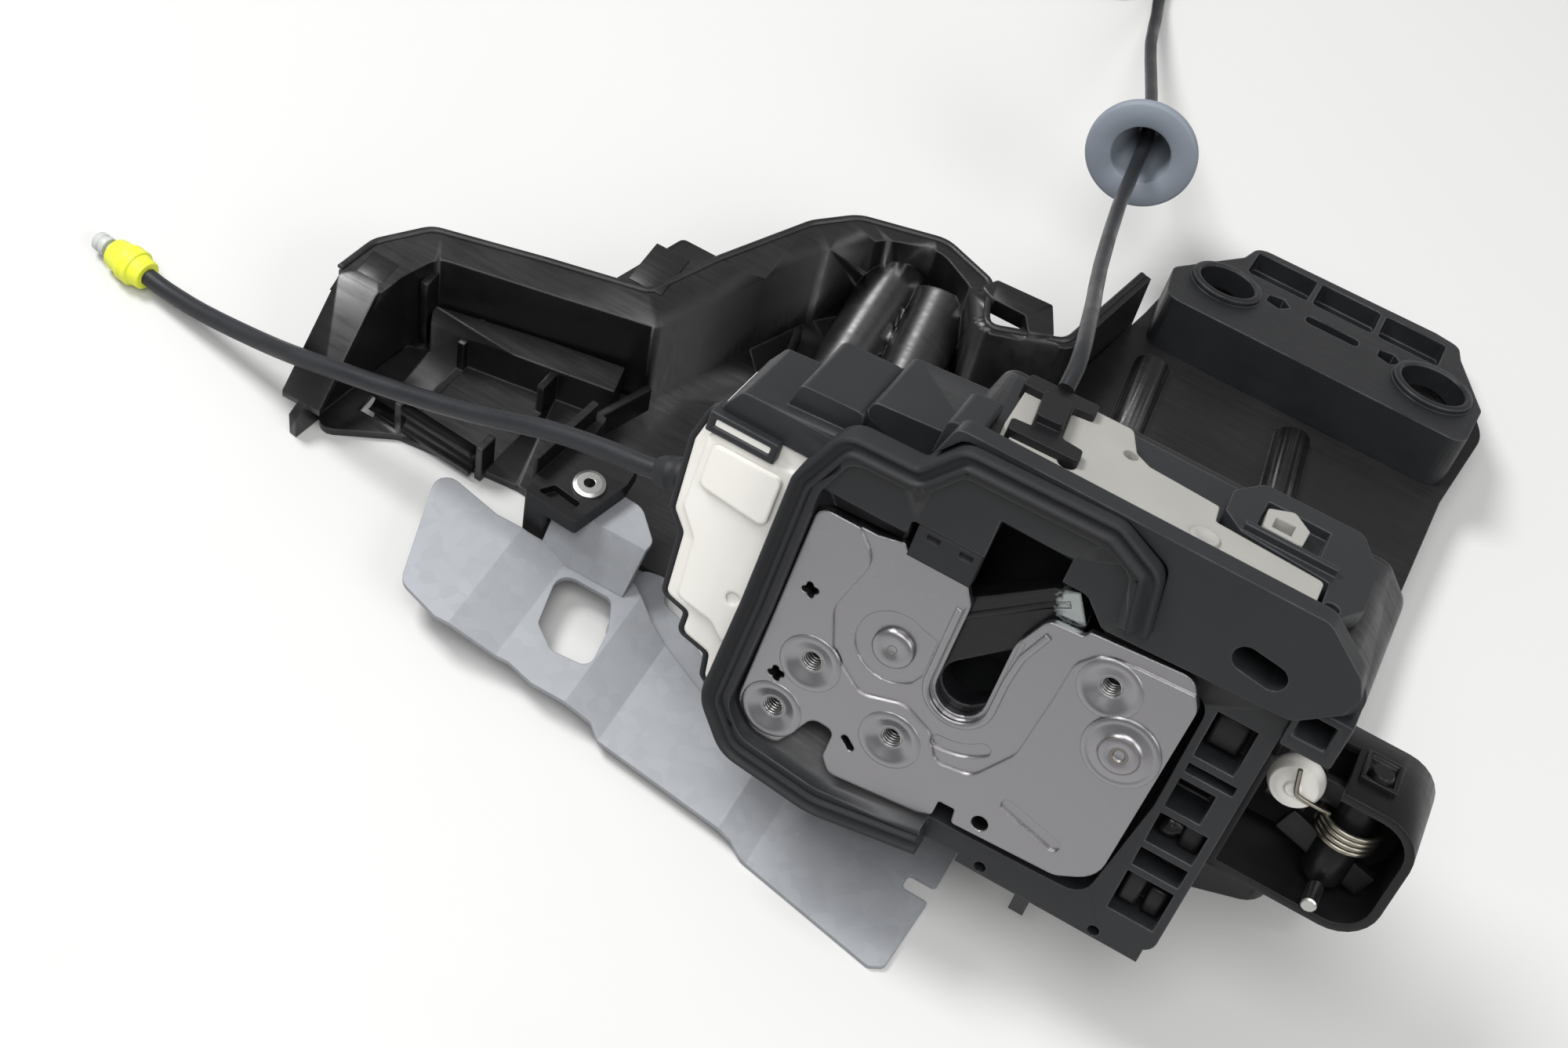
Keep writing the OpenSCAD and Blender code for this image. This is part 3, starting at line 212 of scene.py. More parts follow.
# %% [markdown]
# ## Floor and light
# The lock lies on a white table under soft light from the upper left, with weaker lamps right and in front.
# The lamps stay plain: a colour should come out about as it is written.

# %% Floor
TABLE_SIZE = 6
TABLE_PLACE = (0, 0.4, -0.0002)
bpy.ops.object.select_all(action="DESELECT")
bpy.ops.mesh.primitive_plane_add(size=TABLE_SIZE, location=TABLE_PLACE)
floor = bpy.context.object
floor.name = "table_top"
floor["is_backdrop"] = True


# %% Soft boxes and the room's own light
def soft_box(name, place, aim, size, power):
    lamp = bpy.data.objects.new(name, bpy.data.lights.new(name, "AREA"))
    bpy.context.scene.collection.objects.link(lamp)
    lamp.data.shape = "DISK"
    lamp.data.size = size
    lamp.data.energy = power
    lamp.location = place
    lamp.rotation_euler = (Vector(aim) - Vector(place)).to_track_quat("-Z", "Y").to_euler()
    return lamp


ROOM_LIGHT = 0.38
lock_middle = (0, 0.1, 0.03)
lamps = [
    soft_box("key_soft_box", (-0.85, 0.15, 1.25), (-0.03, 0.12, 0.03), size=0.5, power=19),
    soft_box("fill_soft_box", (1.1, -0.3, 1.0), lock_middle, size=0.9, power=9),
    soft_box("top_soft_box", (0.0, -0.5, 1.5), lock_middle, size=1.0, power=14),
]
room = bpy.data.worlds.new("studio_room")
bpy.context.scene.world = room
room.use_nodes = True
room.node_tree.nodes["Background"].inputs["Color"].default_value = (1, 1, 1, 1)
room.node_tree.nodes["Background"].inputs["Strength"].default_value = ROOM_LIGHT
bpy.context.scene.view_settings.view_transform = "Standard"
print(len(lamps), "soft boxes")

# %% [markdown]
# ## How the finishes are made
# A finish is a small net of nodes on one surface shader.
# Colours are written as on screen, in hex, and one function turns them linear by the screen's own curve.
# Object coordinates are metres here, so a pattern's scale is one over its real size in metres.


# %% Colour and node helpers
def linear(hex_colour):
    parts = [int(hex_colour[i : i + 2], 16) / 255 for i in (1, 3, 5)]
    return (*[c / 12.92 if c <= 0.04045 else ((c + 0.055) / 1.055) ** 2.4 for c in parts], 1)


def add(tree, kind, inputs=None, **settings):
    node = tree.nodes.new("ShaderNode" + kind)
    for key, value in settings.items():
        setattr(node, key, value)
    for socket, value in (inputs or {}).items():
        if isinstance(value, bpy.types.NodeSocket):
            tree.links.new(value, node.inputs[socket])
        else:
            node.inputs[socket].default_value = value
    return node


def object_place(tree):
    return add(tree, "TexCoord").outputs["Object"]


def noise(tree, place, scale, detail, roughness=0.5):
    sockets = {"Vector": place, "Scale": scale, "Detail": detail, "Roughness": roughness}
    return add(tree, "TexNoise", sockets).outputs["Fac"]


def mapped(tree, value, start, end, low=0.0, high=1.0):
    sockets = {"Value": value, "From Min": start, "From Max": end, "To Min": low, "To Max": high}
    return add(tree, "MapRange", sockets).outputs["Result"]


def mixed(tree, share, first, second, kind="RGBA"):
    sockets = {"Factor": share, "A": first, "B": second}
    return add(tree, "Mix", sockets, data_type=kind).outputs["Result"]


# %% [markdown]
# ## Moulded, pressed and extruded surfaces
# Every surface here has the same anatomy: a colour that drifts a little over centimetres, a fine grain from
# the tool, edges that are never quite sharp, and a gloss that changes a little from place to place.
# So one recipe takes the numbers that tell them apart, and each finish below says which real surface it is.
# A bevel node shades the edge's rounding, because the real radii, 0.3 to 1 mm, are finer than the facets.


# %% Rubbed edges and handling marks
FLAT_ENOUGH, STEEP_ENOUGH = 0.985, 0.80
MOST_RUB = 0.9
STREAK_STRETCH = (1, 14, 3)
STREAK_TURN = (0.3, 0.5, 0.7)


def rubbed_edges(tree, shown, soft_normal, slow, worn):
    flat_normal = add(tree, "NewGeometry").outputs["Normal"]
    normals = {0: soft_normal, 1: flat_normal}
    turn = add(tree, "VectorMath", normals, operation="DOT_PRODUCT").outputs["Value"]
    rub = mapped(tree, turn, FLAT_ENOUGH, STEEP_ENOUGH, high=MOST_RUB)
    patch = mapped(tree, slow, 0.35, 0.6)
    share = add(tree, "Math", {0: rub, 1: patch}, operation="MULTIPLY").outputs["Value"]
    return mixed(tree, share, shown, linear(worn))


def handled_gloss(tree, place, slow, marks):
    slanted = {"Vector": place, "Scale": STREAK_STRETCH, "Rotation": STREAK_TURN}
    streak = noise(tree, add(tree, "Mapping", slanted).outputs["Vector"], scale=60, detail=6)
    return mixed(tree, marks, slow, streak, kind="FLOAT")


# %% The shared recipe of a finish
def surface(name, colour, drift, rough, grain_mm, depth_mm, edge_mm,
            metallic=0.0, worn=None, gloss_drift=0.12, drift_mm=18, marks=0.0, shine=0.32):
    material = bpy.data.materials.new(name)
    material.use_nodes = True
    tree = material.node_tree
    shader = tree.nodes["Principled BSDF"]
    place = object_place(tree)
    slow = noise(tree, place, scale=1000 / drift_mm, detail=4, roughness=0.6)
    fine = noise(tree, place, scale=1000 / grain_mm, detail=3, roughness=0.55)
    soft_normal = add(tree, "Bevel", {"Radius": edge_mm * MM}, samples=4).outputs["Normal"]
    shown = mixed(tree, slow, linear(colour), linear(drift))
    if worn:
        shown = rubbed_edges(tree, shown, soft_normal, slow, worn)
    tree.links.new(shown, shader.inputs["Base Color"])
    gloss = handled_gloss(tree, place, slow, marks) if marks else slow
    sheen = mapped(tree, gloss, 0.3, 0.7, rough - gloss_drift, rough + gloss_drift)
    tree.links.new(sheen, shader.inputs["Roughness"])
    relief = {"Height": fine, "Strength": 1.0, "Distance": depth_mm * MM, "Normal": soft_normal}
    tree.links.new(add(tree, "Bump", relief).outputs["Normal"], shader.inputs["Normal"])
    shader.inputs["Metallic"].default_value = metallic
    if not metallic:
        shader.inputs["Specular IOR Level"].default_value = shine
    return material


# %% [markdown]
# ### Plastics and rubber
# The shield and the levers are satin black polypropylene and nylon, with a soft grey sheen off a spark grain.
# The housing is a glass-filled dark grey nylon, a shade lighter. The case is natural white polypropylene.
# Rubber is the dullest, and the sheaths of the cables are extruded plastic with a slightly coarser grain.

# %% Plastic and rubber finishes
shield_black = surface("satin_black_polypropylene", "#0d0d0e", "#141415", rough=0.36, grain_mm=0.35,
                       depth_mm=0.010, edge_mm=0.8, worn="#3a3b3d", marks=0.5, shine=0.5)
lever_black = surface("black_nylon", "#0e0e10", "#151517", rough=0.38, grain_mm=0.3,
                      depth_mm=0.008, edge_mm=0.4, worn="#37383a", marks=0.4)
housing_grey = surface("glass_filled_grey_nylon", "#1d1e20", "#252628", rough=0.44, grain_mm=0.35,
                       depth_mm=0.012, edge_mm=0.6, worn="#55565a", marks=0.4)
bracket_grey = surface("moulded_grey_polypropylene", "#141517", "#1b1c1e", rough=0.44, grain_mm=0.35,
                       depth_mm=0.012, edge_mm=0.8, worn="#5a5b60", marks=0.4)
seal_rubber = surface("black_seal_rubber", "#1a1b1d", "#222325", rough=0.62, grain_mm=0.3,
                      depth_mm=0.012, edge_mm=1.2, gloss_drift=0.08)
case_white = surface("natural_white_polypropylene", "#e6e6e4", "#dcdbd8", rough=0.40, grain_mm=0.5,
                     depth_mm=0.010, edge_mm=1.0, gloss_drift=0.06)
case_cream = surface("yellowed_white_polypropylene", "#e4e3df", "#dbd8d0", rough=0.38, grain_mm=0.5,
                     depth_mm=0.010, edge_mm=1.2, gloss_drift=0.06)
beige_plastic = surface("beige_polyoxymethylene", "#8b8a85", "#969590", rough=0.45, grain_mm=0.4,
                        depth_mm=0.010, edge_mm=0.6)
nylon = surface("natural_nylon", "#dedad0", "#d0cabc", rough=0.40, grain_mm=0.4, depth_mm=0.010, edge_mm=0.4)
knob_white = surface("white_polyoxymethylene", "#e9e8e3", "#dedcd4", rough=0.35, grain_mm=0.4,
                     depth_mm=0.008, edge_mm=0.6)
bearing_grease = surface("bearing_grease", "#0c0c0d", "#171718", rough=0.18, grain_mm=0.6,
                         depth_mm=0.060, edge_mm=0.3, gloss_drift=0.08)
cable_black = surface("extruded_black_sheath", "#1b1c1f", "#25262a", rough=0.48, grain_mm=0.6,
                      depth_mm=0.030, edge_mm=0.2)
cable_grey = surface("extruded_grey_sheath", "#1b1c1e", "#26272a", rough=0.40, grain_mm=0.5,
                     depth_mm=0.010, edge_mm=0.2)
ferrule_yellow = surface("yellow_green_polypropylene", "#cfd62c", "#dbe04a", rough=0.42, grain_mm=0.4,
                         depth_mm=0.010, edge_mm=0.5)
tip_grey = surface("grey_polyoxymethylene", "#a9adab", "#babdbb", rough=0.40, grain_mm=0.4,
                   depth_mm=0.010, edge_mm=0.4)
grommet_blue = surface("blue_grey_polypropylene", "#6f767f", "#7d848d", rough=0.48, grain_mm=0.4,
                       depth_mm=0.010, edge_mm=0.8)

# %% [markdown]
# ### Steel
# The latch plate is pressed from zinc-plated strip and has a satin, slightly cloudy face.
# The sheet bracket is hot-dip galvanised: its zinc froze in flat crystals, each with its own grey.
# The rivet, pins and springs are small and bright.
# A metal's colour is its reflection, so noise works mostly on gloss.

# %% Steel finishes
plate_steel = surface("zinc_plated_pressed_steel", "#8c8b8e", "#9a989b", rough=0.32, grain_mm=0.25,
                      depth_mm=0.006, edge_mm=0.7, metallic=1.0, gloss_drift=0.07, drift_mm=9)
dark_steel = surface("phosphated_steel", "#76726f", "#8a8683", rough=0.42, grain_mm=0.3,
                     depth_mm=0.008, edge_mm=0.5, metallic=1.0)
spring_steel = surface("drawn_spring_wire", "#8d887c", "#9c978b", rough=0.30, grain_mm=0.3,
                       depth_mm=0.004, edge_mm=0.2, metallic=1.0)
rivet_steel = surface("bright_zinc_on_steel", "#c3c3c0", "#b2b2af", rough=0.30, grain_mm=0.3,
                      depth_mm=0.005, edge_mm=0.3, metallic=1.0)
brass = surface("turned_brass", "#c9a24a", "#b8923f", rough=0.30, grain_mm=0.3,
                depth_mm=0.004, edge_mm=0.2, metallic=1.0)
zinc_steel = surface("hot_dip_galvanised_steel", "#8c8f94", "#96989c", rough=0.62, grain_mm=0.3,
                     depth_mm=0.006, edge_mm=0.6, metallic=0.2, gloss_drift=0.06, drift_mm=30)


def base_colour(material):
    tree = material.node_tree
    shader = tree.nodes["Principled BSDF"]
    return tree, shader, shader.inputs["Base Color"].links[0].from_socket


# %% Zinc crystals on the galvanised sheet
CRYSTAL_SIZE = 3.5
tree, shader, old_colour = base_colour(zinc_steel)
crystals = add(tree, "TexVoronoi", {"Vector": object_place(tree), "Scale": 1000 / CRYSTAL_SIZE}, feature="F1")
grey_of_each = add(tree, "SeparateColor", {"Color": crystals.outputs["Color"]}).outputs["Red"]
shaded = {0: old_colour, "Scale": mapped(tree, grey_of_each, 0.0, 1.0, 0.95, 1.04)}
crystal_tint = add(tree, "VectorMath", shaded, operation="SCALE").outputs["Vector"]
tree.links.new(crystal_tint, shader.inputs["Base Color"])
print("zinc crystals are about", CRYSTAL_SIZE, "mm across")

# %% [markdown]
# ### The catch's coat
# The catch is steel in a black moulded coat, shiny with grease. Its hook is bright where the striker slides.
# The worn patch is a soft ball round the hook's tip, broken up by noise, that lets bare steel through.

# %% Catch finish
HOOK_TIP = (13.2, 5, 96.6)
BARE_STEEL = "#a3aaa8"
BARE_UP_TO, COATED_FROM = 6.0, 7.2
RAGGED_BY = 4
catch_black = surface("greased_black_coat", "#0e0e10", "#18181a", rough=0.24, grain_mm=0.5,
                      depth_mm=0.012, edge_mm=0.9, worn="#3c3d40", marks=0.4)
tree, shader, coat_colour = base_colour(catch_black)
place = object_place(tree)
away = add(tree, "VectorMath", {0: place, 1: in_latch(*HOOK_TIP)}, operation="DISTANCE").outputs["Value"]
ragged = noise(tree, place, scale=700, detail=4)
reach = add(tree, "Math", {0: ragged, 1: RAGGED_BY * MM, 2: away}, operation="MULTIPLY_ADD").outputs["Value"]
bare = mapped(tree, reach, COATED_FROM * MM, BARE_UP_TO * MM)
tree.links.new(mixed(tree, bare, coat_colour, linear(BARE_STEEL)), shader.inputs["Base Color"])
tree.links.new(bare, shader.inputs["Metallic"])

# %% Floor finish
table_white = surface("matt_white_table", "#c4c4c3", "#c0c0bf", rough=0.6, grain_mm=0.8,
                      depth_mm=0.004, edge_mm=0.1, drift_mm=160)
floor.data.materials.append(table_white)

# %% Which finish each solid wears
wearers = [
    (plate_steel, ["latch_plate"]),
    (dark_steel, ["back_plate", "catch_pin", "pawl_pin", "pawl", "housing_screws", "release_lever"]),
    (rivet_steel, ["motor", "gear_pin", "release_pin", "key_pin", "sheet_rivet"]),
    (spring_steel, ["catch_spring", "pawl_spring", "key_spring"]),
    (zinc_steel, ["sheet_bracket", "sheet_liner"]),
    (brass, ["drive_pinion"]),
    (nylon, ["lock_gear"]),
    (catch_black, ["catch"]),
    (seal_rubber, ["bump_stop", "seal_lip"]),
    (housing_grey, ["latch_housing", "lock_frame"]),
    (shield_black, ["rear_cover", "shield"]),
    (lever_black, ["cable_clip", "arm_housing", "key_lever", "sheet_holder"]),
    (bracket_grey, ["handle_bracket"]),
    (case_white, ["actuator_case"]),
    (case_cream, ["actuator_cover"]),
    (beige_plastic, ["cable_plate", "lock_slider"]),
    (knob_white, ["key_knob"]),
    (cable_black, ["sill_cable", "sill_sleeve"]),
    (ferrule_yellow, ["sill_ferrule"]),
    (tip_grey, ["sill_tip", "handle_end"]),
    (cable_grey, ["handle_cable", "handle_coil"]),
    (grommet_blue, ["grommet"]),
]
for finish, names in wearers:
    for name in names:
        nodes[name].data.materials.clear()
        nodes[name].data.materials.append(finish)
print(sum(len(names) for finish, names in wearers), "solids have their finish")


# %% A helper that hands a finished piece over to the lock
def hand_over(piece, finish, body, stands_for=()):
    if piece.type == "MESH":
        at_origin(piece)
    piece.data.materials.clear()
    piece.data.materials.append(finish)
    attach(piece, body)
    if stands_for:
        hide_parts(*stands_for)
    return piece


# %% [markdown]
# ## Tools for the detailed pieces
# Three ways of making a piece are enough here. A moulded strip, lip or bead is a profile swept along a line.
# A turned piece, such as a grommet or a pivot's head, is half a section spun round its axis.
# Most others start as a cube at its place, and get their shape from insets, extrusions, cuts and bevels.


# %% Rounded corners in a given line, and a line moved sideways
CORNER_STEPS = 5


def rounded(corners, closed=False):
    count = len(corners)
    made = []
    for i, (x, y, radius) in enumerate(corners):
        here = Vector((x, y, 0))
        if radius <= 0 or (not closed and i in (0, count - 1)):
            made.append(here)
            continue
        before, after = [Vector((*corners[j % count][:2], 0)) - here for j in (i - 1, i + 1)]
        half = before.angle(after) / 2
        reach = min(radius / math.tan(half), before.length * 0.49, after.length * 0.49)
        start, end = here + before.normalized() * reach, here + after.normalized() * reach
        for k in range(CORNER_STEPS + 1):
            t = k / CORNER_STEPS
            made.append(start.lerp(here, t).lerp(here.lerp(end, t), t))
    return made


def beside(line, distance):
    moved = []
    for i, here in enumerate(line):
        before, after = line[max(0, i - 1)], line[min(len(line) - 1, i + 1)]
        along = (after - before).normalized()
        moved.append(here + Vector((-along.y, along.x, 0)) * distance)
    return moved


# %% Round stretches: an arc, an oval and a helix
def arc(middle, radius, start, end, steps):
    angles = [start + (end - start) * i / steps for i in range(steps + 1)]
    return [Vector((middle[0] + radius * math.cos(a), middle[1] + radius * math.sin(a), 0)) for a in angles]


def oval(wide, tall, steps=10):
    angles = [i * math.tau / steps for i in range(steps)]
    return [(wide * math.cos(a), tall * math.sin(a)) for a in angles]


def helix(radius, pitch, steps, count):
    angles = [i * math.tau / steps for i in range(count)]
    return [(radius * math.cos(a), radius * math.sin(a), pitch * a / math.tau) for a in angles]


# %% A clean mesh, with sharp edges where its faces meet steeply
def select_only(piece):
    bpy.ops.object.select_all(action="DESELECT")
    piece.select_set(True)
    bpy.context.view_layer.objects.active = piece


def tidy_mesh(piece, smooth_degrees=40):
    select_only(piece)
    bpy.ops.object.mode_set(mode="EDIT")
    bpy.ops.mesh.select_all(action="SELECT")
    bpy.ops.mesh.remove_doubles(threshold=0.01 * MM)
    bpy.ops.mesh.normals_make_consistent(inside=False)
    bpy.ops.object.mode_set(mode="OBJECT")
    bpy.ops.object.shade_smooth_by_angle(angle=math.radians(smooth_degrees))
    return piece


# %% A profile swept along a line
def flat_curve(name, line, closed):
    piece = line_curve(name, line, closed)
    piece.data.twist_mode = "Z_UP"
    return piece


def sweep(name, line, profile, closed=False, turn=Matrix.Identity(4)):
    path = flat_curve(name, line, closed)
    section = flat_curve(name + "_section", profile, True)
    section.data.dimensions = "2D"
    section.data.fill_mode = "NONE"
    path.data.bevel_mode = "OBJECT"
    path.data.bevel_object = section
    select_only(path)
    bpy.ops.object.convert(target="MESH")
    bpy.data.objects.remove(section)
    return at_origin(tidy_mesh(path), turn)


# %% A half section spun round the upright axis, then stood on its own axis
def turned_piece(name, section, foot, axis, steps=48):
    mesh = bpy.data.meshes.new(name)
    places = [(r * MM, 0, h * MM) for r, h in section]
    mesh.from_pydata(places, [(i, i + 1) for i in range(len(section) - 1)], [])
    piece = bpy.data.objects.new(name, mesh)
    bpy.context.scene.collection.objects.link(piece)
    select_only(piece)
    bpy.ops.object.mode_set(mode="EDIT")
    bpy.ops.mesh.select_all(action="SELECT")
    bpy.ops.mesh.spin(steps=steps, angle=math.tau, center=(0, 0, 0), axis=(0, 0, 1))
    bpy.ops.object.mode_set(mode="OBJECT")
    tidy_mesh(piece)
    stand = Matrix.Translation(foot) @ Vector(axis).to_track_quat("Z", "Y").to_matrix().to_4x4()
    return at_origin(piece, stand)


# %% A cube at its size and place, with ways to choose its faces and edges and to round it
def box(name, low, high):
    low, high = Vector(low), Vector(high)
    bpy.ops.object.select_all(action="DESELECT")
    bpy.ops.mesh.primitive_cube_add(size=1, location=(low + high) / 2 * MM, scale=(high - low) * MM)
    piece = bpy.context.object
    piece.name = name
    bpy.ops.object.transform_apply(location=True, rotation=False, scale=True)
    return piece


def pick_nothing(kind):
    bpy.ops.object.mode_set(mode="EDIT")
    bpy.ops.mesh.select_mode(type=kind)
    bpy.ops.mesh.select_all(action="DESELECT")
    bpy.ops.object.mode_set(mode="OBJECT")


def pick_faces(piece, test):
    pick_nothing("FACE")
    for face in piece.data.polygons:
        face.select = bool(test(face.normal))
    bpy.ops.object.mode_set(mode="EDIT")


def pick_edges(piece, test):
    pick_nothing("EDGE")
    for edge in piece.data.edges:
        edge.select = bool(test(*[piece.data.vertices[i].co / MM for i in edge.vertices]))
    bpy.ops.object.mode_set(mode="EDIT")


def ease_edges(piece, width, turn=Matrix.Identity(4)):
    bpy.ops.object.mode_set(mode="OBJECT")
    ease = piece.modifiers.new("eased", "BEVEL")
    ease.width = width * MM
    ease.segments = 2
    ease.limit_method = "ANGLE"
    ease.angle_limit = math.radians(35)
    bpy.context.view_layer.objects.active = piece
    bpy.ops.object.modifier_apply(modifier=ease.name)
    return at_origin(tidy_mesh(piece), turn)


print("sweep, turn and box are ready")

# %% [markdown]
# ## Threads in the plate
# Each mounting hole is an extruded collar with an M6 thread, whose crests catch the light as fine rings.
# A thin 1 mm pitch helix on the bore's wall gives those crests. A dark disc deep in each bore is painted
# shade.


# %% A wire of the latch, turned into a mesh
def wire_mesh(name, points_mm, radius_mm):
    piece = round_curve(name, points_mm, radius_mm, resolution=2)
    select_only(piece)
    bpy.ops.object.convert(target="MESH")
    bpy.ops.object.shade_smooth()
    return at_origin(bpy.context.object, LEAN)


# %% Threads, and a dark disc in each bore as painted shade
BOLTS = [(-11.6, 42), (-35.6, 50.5), (-40, 33), (27.5, 84.2)]
THREAD_RADIUS = 2.46
THREAD_PITCH = 1
THREAD_START = 1.2
thread = helix(THREAD_RADIUS, THREAD_PITCH, steps=20, count=115)
bore_shade_disc_section = [(0, -6.2), (2.3, -6.2), (THREAD_RADIUS, -6), (THREAD_RADIUS, -6.7), (0, -6.7)]
for number, (x, z) in enumerate(BOLTS, 1):
    hole = Vector((x, THREAD_START, z))
    crest_line = [hole + Vector((across, deep, up)) for across, up, deep in thread]
    crest = wire_mesh(f"thread_{number}", crest_line, 0.2)
    hand_over(crest, rivet_steel, "lock_body")
    # Painted shade: a disc of the housing's dark plastic deep in the bore stands in for the hole's dark
    # depth.
    bore_shade_disc = turned_piece(f"bore_shade_disc_{number}", bore_shade_disc_section, in_latch(x, 0, z), TO_THE_FRONT)
    hand_over(bore_shade_disc, housing_grey, "lock_body")
print("four threads of", THREAD_PITCH, "mm pitch")

# %% [markdown]
# ## Rubber seal
# The seal is a moulded rubber band with two lips: one meets the door's skin and the other hugs the plate.
# Its section is drawn once and swept along a line that runs beside the housing's rim.

# %% Seal
SEAL_OFFSET = -4.7
rim_corners = [(22.6, 101.7, 0), (20.4, 114.6, 4), (13.6, 117.8, 4), (-20, 117, 4), (-27, 107.4, 4),
               (-44, 107, 5), (-48, 96, 6), (-48.4, 60, 0), (-49.6, 30, 8), (-44, 23, 8), (-22, 20.4, 20),
               (4, 25.4, 0)]
seal_section = [(-2.5, -2.4), (2.5, -2.4), (2.5, 3.2), (2.1, 4.1), (1.4, 4.2), (0.8, 3.5), (0.2, 3.0),
                (-0.7, 3.0), (-1.2, 3.7), (-1.7, 4.4), (-2.3, 4.4), (-2.5, 3.9)]
seal_middle = beside([Vector((x, z, 0)) for x, z, radius in rim_corners], SEAL_OFFSET)
seal_line = rounded([(place.x, place.y, corner[2]) for place, corner in zip(seal_middle, rim_corners)])
seal = sweep("seal_band", seal_line, seal_section, turn=face_on(0))
hand_over(seal, seal_rubber, "lock_body", ["seal_lip"])
print("seal band is", round(line_length(seal_line)), "mm long")

# %% [markdown]
# ## Actuator case trim
# A dark gasket shows as a thin line between the case's two shells, and a dark cap clips their top edges.

# %% Gasket line
GASKET_DEPTH = 7.4
gasket_corners = [(-61, 97.8, 0), (-77.4, 97.5, 1.5), (-79.8, 95.3, 2), (-81.9, 87, 2), (-80.9, 66.6, 3),
                  (-76.8, 61.5, 3), (-75.8, 43.3, 2), (-68.8, 41.3, 2), (-68.8, 35.3, 2), (-60.8, 33.3, 2),
                  (-59.8, 26.3, 2), (-54.8, 24.2, 0)]
gasket_section = [(-0.7, -1.5), (0.7, -1.5), (0.8, 1.2), (0.3, 1.7), (-0.3, 1.7), (-0.8, 1.2)]
gasket = sweep("case_gasket", rounded(gasket_corners), gasket_section, turn=face_on(GASKET_DEPTH))
hand_over(gasket, seal_rubber, "lock_body")

# %% Clip cap
clip_cap = box("case_clip_cap", (-79.0, 2.7, 92.4), (-61.4, 8.6, 97.8))
pick_faces(clip_cap, lambda normal: normal.y < -0.9)
bpy.ops.mesh.inset(thickness=1.4 * MM, depth=0)
bpy.ops.mesh.inset(thickness=0.5 * MM, depth=-0.9 * MM)
ease_edges(clip_cap, 0.4, LEAN)
hand_over(clip_cap, housing_grey, "lock_body")

# %% [markdown]
# ## Pressed detail of the plate
# Round each thread the steel rises in a soft ring before it dips into the collar. The slot's edge is rolled.
# The pivots are riveted: the press leaves a wide flat head with a softer shoulder and a dimple in the middle.

# %% Rings round the threads, and the pivots' heads
CATCH_PIVOT = (-19.5, 65.6)
PAWL_PIVOT = (36, 70.8)
ring_section = [(7.9, -0.25), (7.7, 0.06), (7.0, 0.26), (6.2, 0.28), (5.6, 0.04), (4.7, -0.48),
                (3.5, -1.08), (2.9, -1.3), (2.9, -1.8), (4.2, -1.8), (7.9, -0.25)]
catch_head = [(0, 0.25), (1.1, 0.35), (1.9, 0.62), (2.6, 0.8), (3.9, 0.78), (4.7, 0.6), (5.1, 0.15),
              (5.2, -0.9), (0, -0.9)]
pawl_head = [(0, 1.3), (1.2, 1.38), (2.1, 1.72), (2.7, 1.94), (4.2, 1.94), (4.8, 1.7), (5.1, 1.1),
             (5.7, 0.74), (7.3, 0.72), (7.6, 0.6), (7.9, 0.72), (8.8, 0.66), (9.25, 0.4), (9.35, -0.3),
             (0, -0.3)]
pressed = [(f"thread_ring_{number}", ring_section, place) for number, place in enumerate(BOLTS, 1)]
pressed += [("catch_pivot_head", catch_head, CATCH_PIVOT), ("pawl_pivot_head", pawl_head, PAWL_PIVOT)]
for name, section, (x, z) in pressed:
    piece = turned_piece(name, section, in_latch(x, 0, z), TO_THE_FRONT)
    hand_over(piece, plate_steel, "lock_body")

# %% Rolled edge of the striker slot, and the catch's moulded ridge
SLOT_END = (-1.5, 62.8)
SLOT_RADIUS = 8.1
left_side = [Vector((-9.6, 84, 0)), Vector((-9.6, 73, 0))]
right_side = [Vector((6.6, 72, 0)), Vector((7.4, 80, 0)), Vector((10.6, 88.6, 0))]
lip_line = left_side + arc(SLOT_END, SLOT_RADIUS, math.pi, math.tau, 18) + right_side
slot_lip = sweep("slot_lip", lip_line, oval(0.9, 0.4), turn=face_on(0.35))
hand_over(slot_lip, plate_steel, "lock_body")
ridge_line = smooth([(-13, 76.5, 0), (-6, 82.5, 0), (0.5, 88, 0), (7, 93.6, 0), (11.6, 96.6, 0)], 4)
ridge = sweep("catch_ridge", ridge_line, oval(0.9, 0.24), turn=face_on(3.55))
hand_over(ridge, catch_black, "catch")

# %% [markdown]
# ## Two bodies opened up
# The picture shows more openings in the housing than its solid has, and no ladder in the shield's bowl.
# A copy of each solid is merged and cut with plain blocks by a boolean, which leaves the solid itself alone.


# %% A copy of a solid, and a cut
def copy_of(node_name, name):
    piece = bpy.data.objects.new(name, nodes[node_name].data.copy())
    bpy.context.scene.collection.objects.link(piece)
    piece.matrix_world = nodes[node_name].matrix_world.copy()
    at_origin(piece)
    return tidy_mesh(piece, smooth_degrees=30)


def cut(piece, cutter):
    carve = piece.modifiers.new("carve", "BOOLEAN")
    carve.operation = "DIFFERENCE"
    carve.solver = "EXACT"
    carve.object = cutter
    select_only(piece)
    bpy.ops.object.modifier_apply(modifier=carve.name)
    bpy.data.objects.remove(cutter)


# %% The housing's open mechanism and the block at its right end
WINDOW_LEFT = 50
WINDOW_FRONT, WINDOW_BACK = 1, 12
window_spans = [(28, 40.6, 61.8), (42.6, 48.4, 61.8), (50.4, 59.6, 61.8), (61.6, 70.6, 58.8),
                (72.6, 75.4, 61.8), (77.6, 91, 59.8)]
housing = copy_of("latch_housing", "open_housing")
for low, high, right in window_spans:
    window = box("window", (WINDOW_LEFT, WINDOW_FRONT, low), (right, WINDOW_BACK, high))
    cut(housing, at_origin(window, LEAN))
tidy_mesh(housing, smooth_degrees=14)
hand_over(housing, housing_grey, "lock_body", ["latch_housing"])
end_block = box("housing_end_block", (64.1, 0, 92.6), (76.2, 41.5, 105))
cut(end_block, box("eyelet", (65.6, -2, 96.2), (73.2, 30, 102.8)))
ease_edges(end_block, 0.8, LEAN)
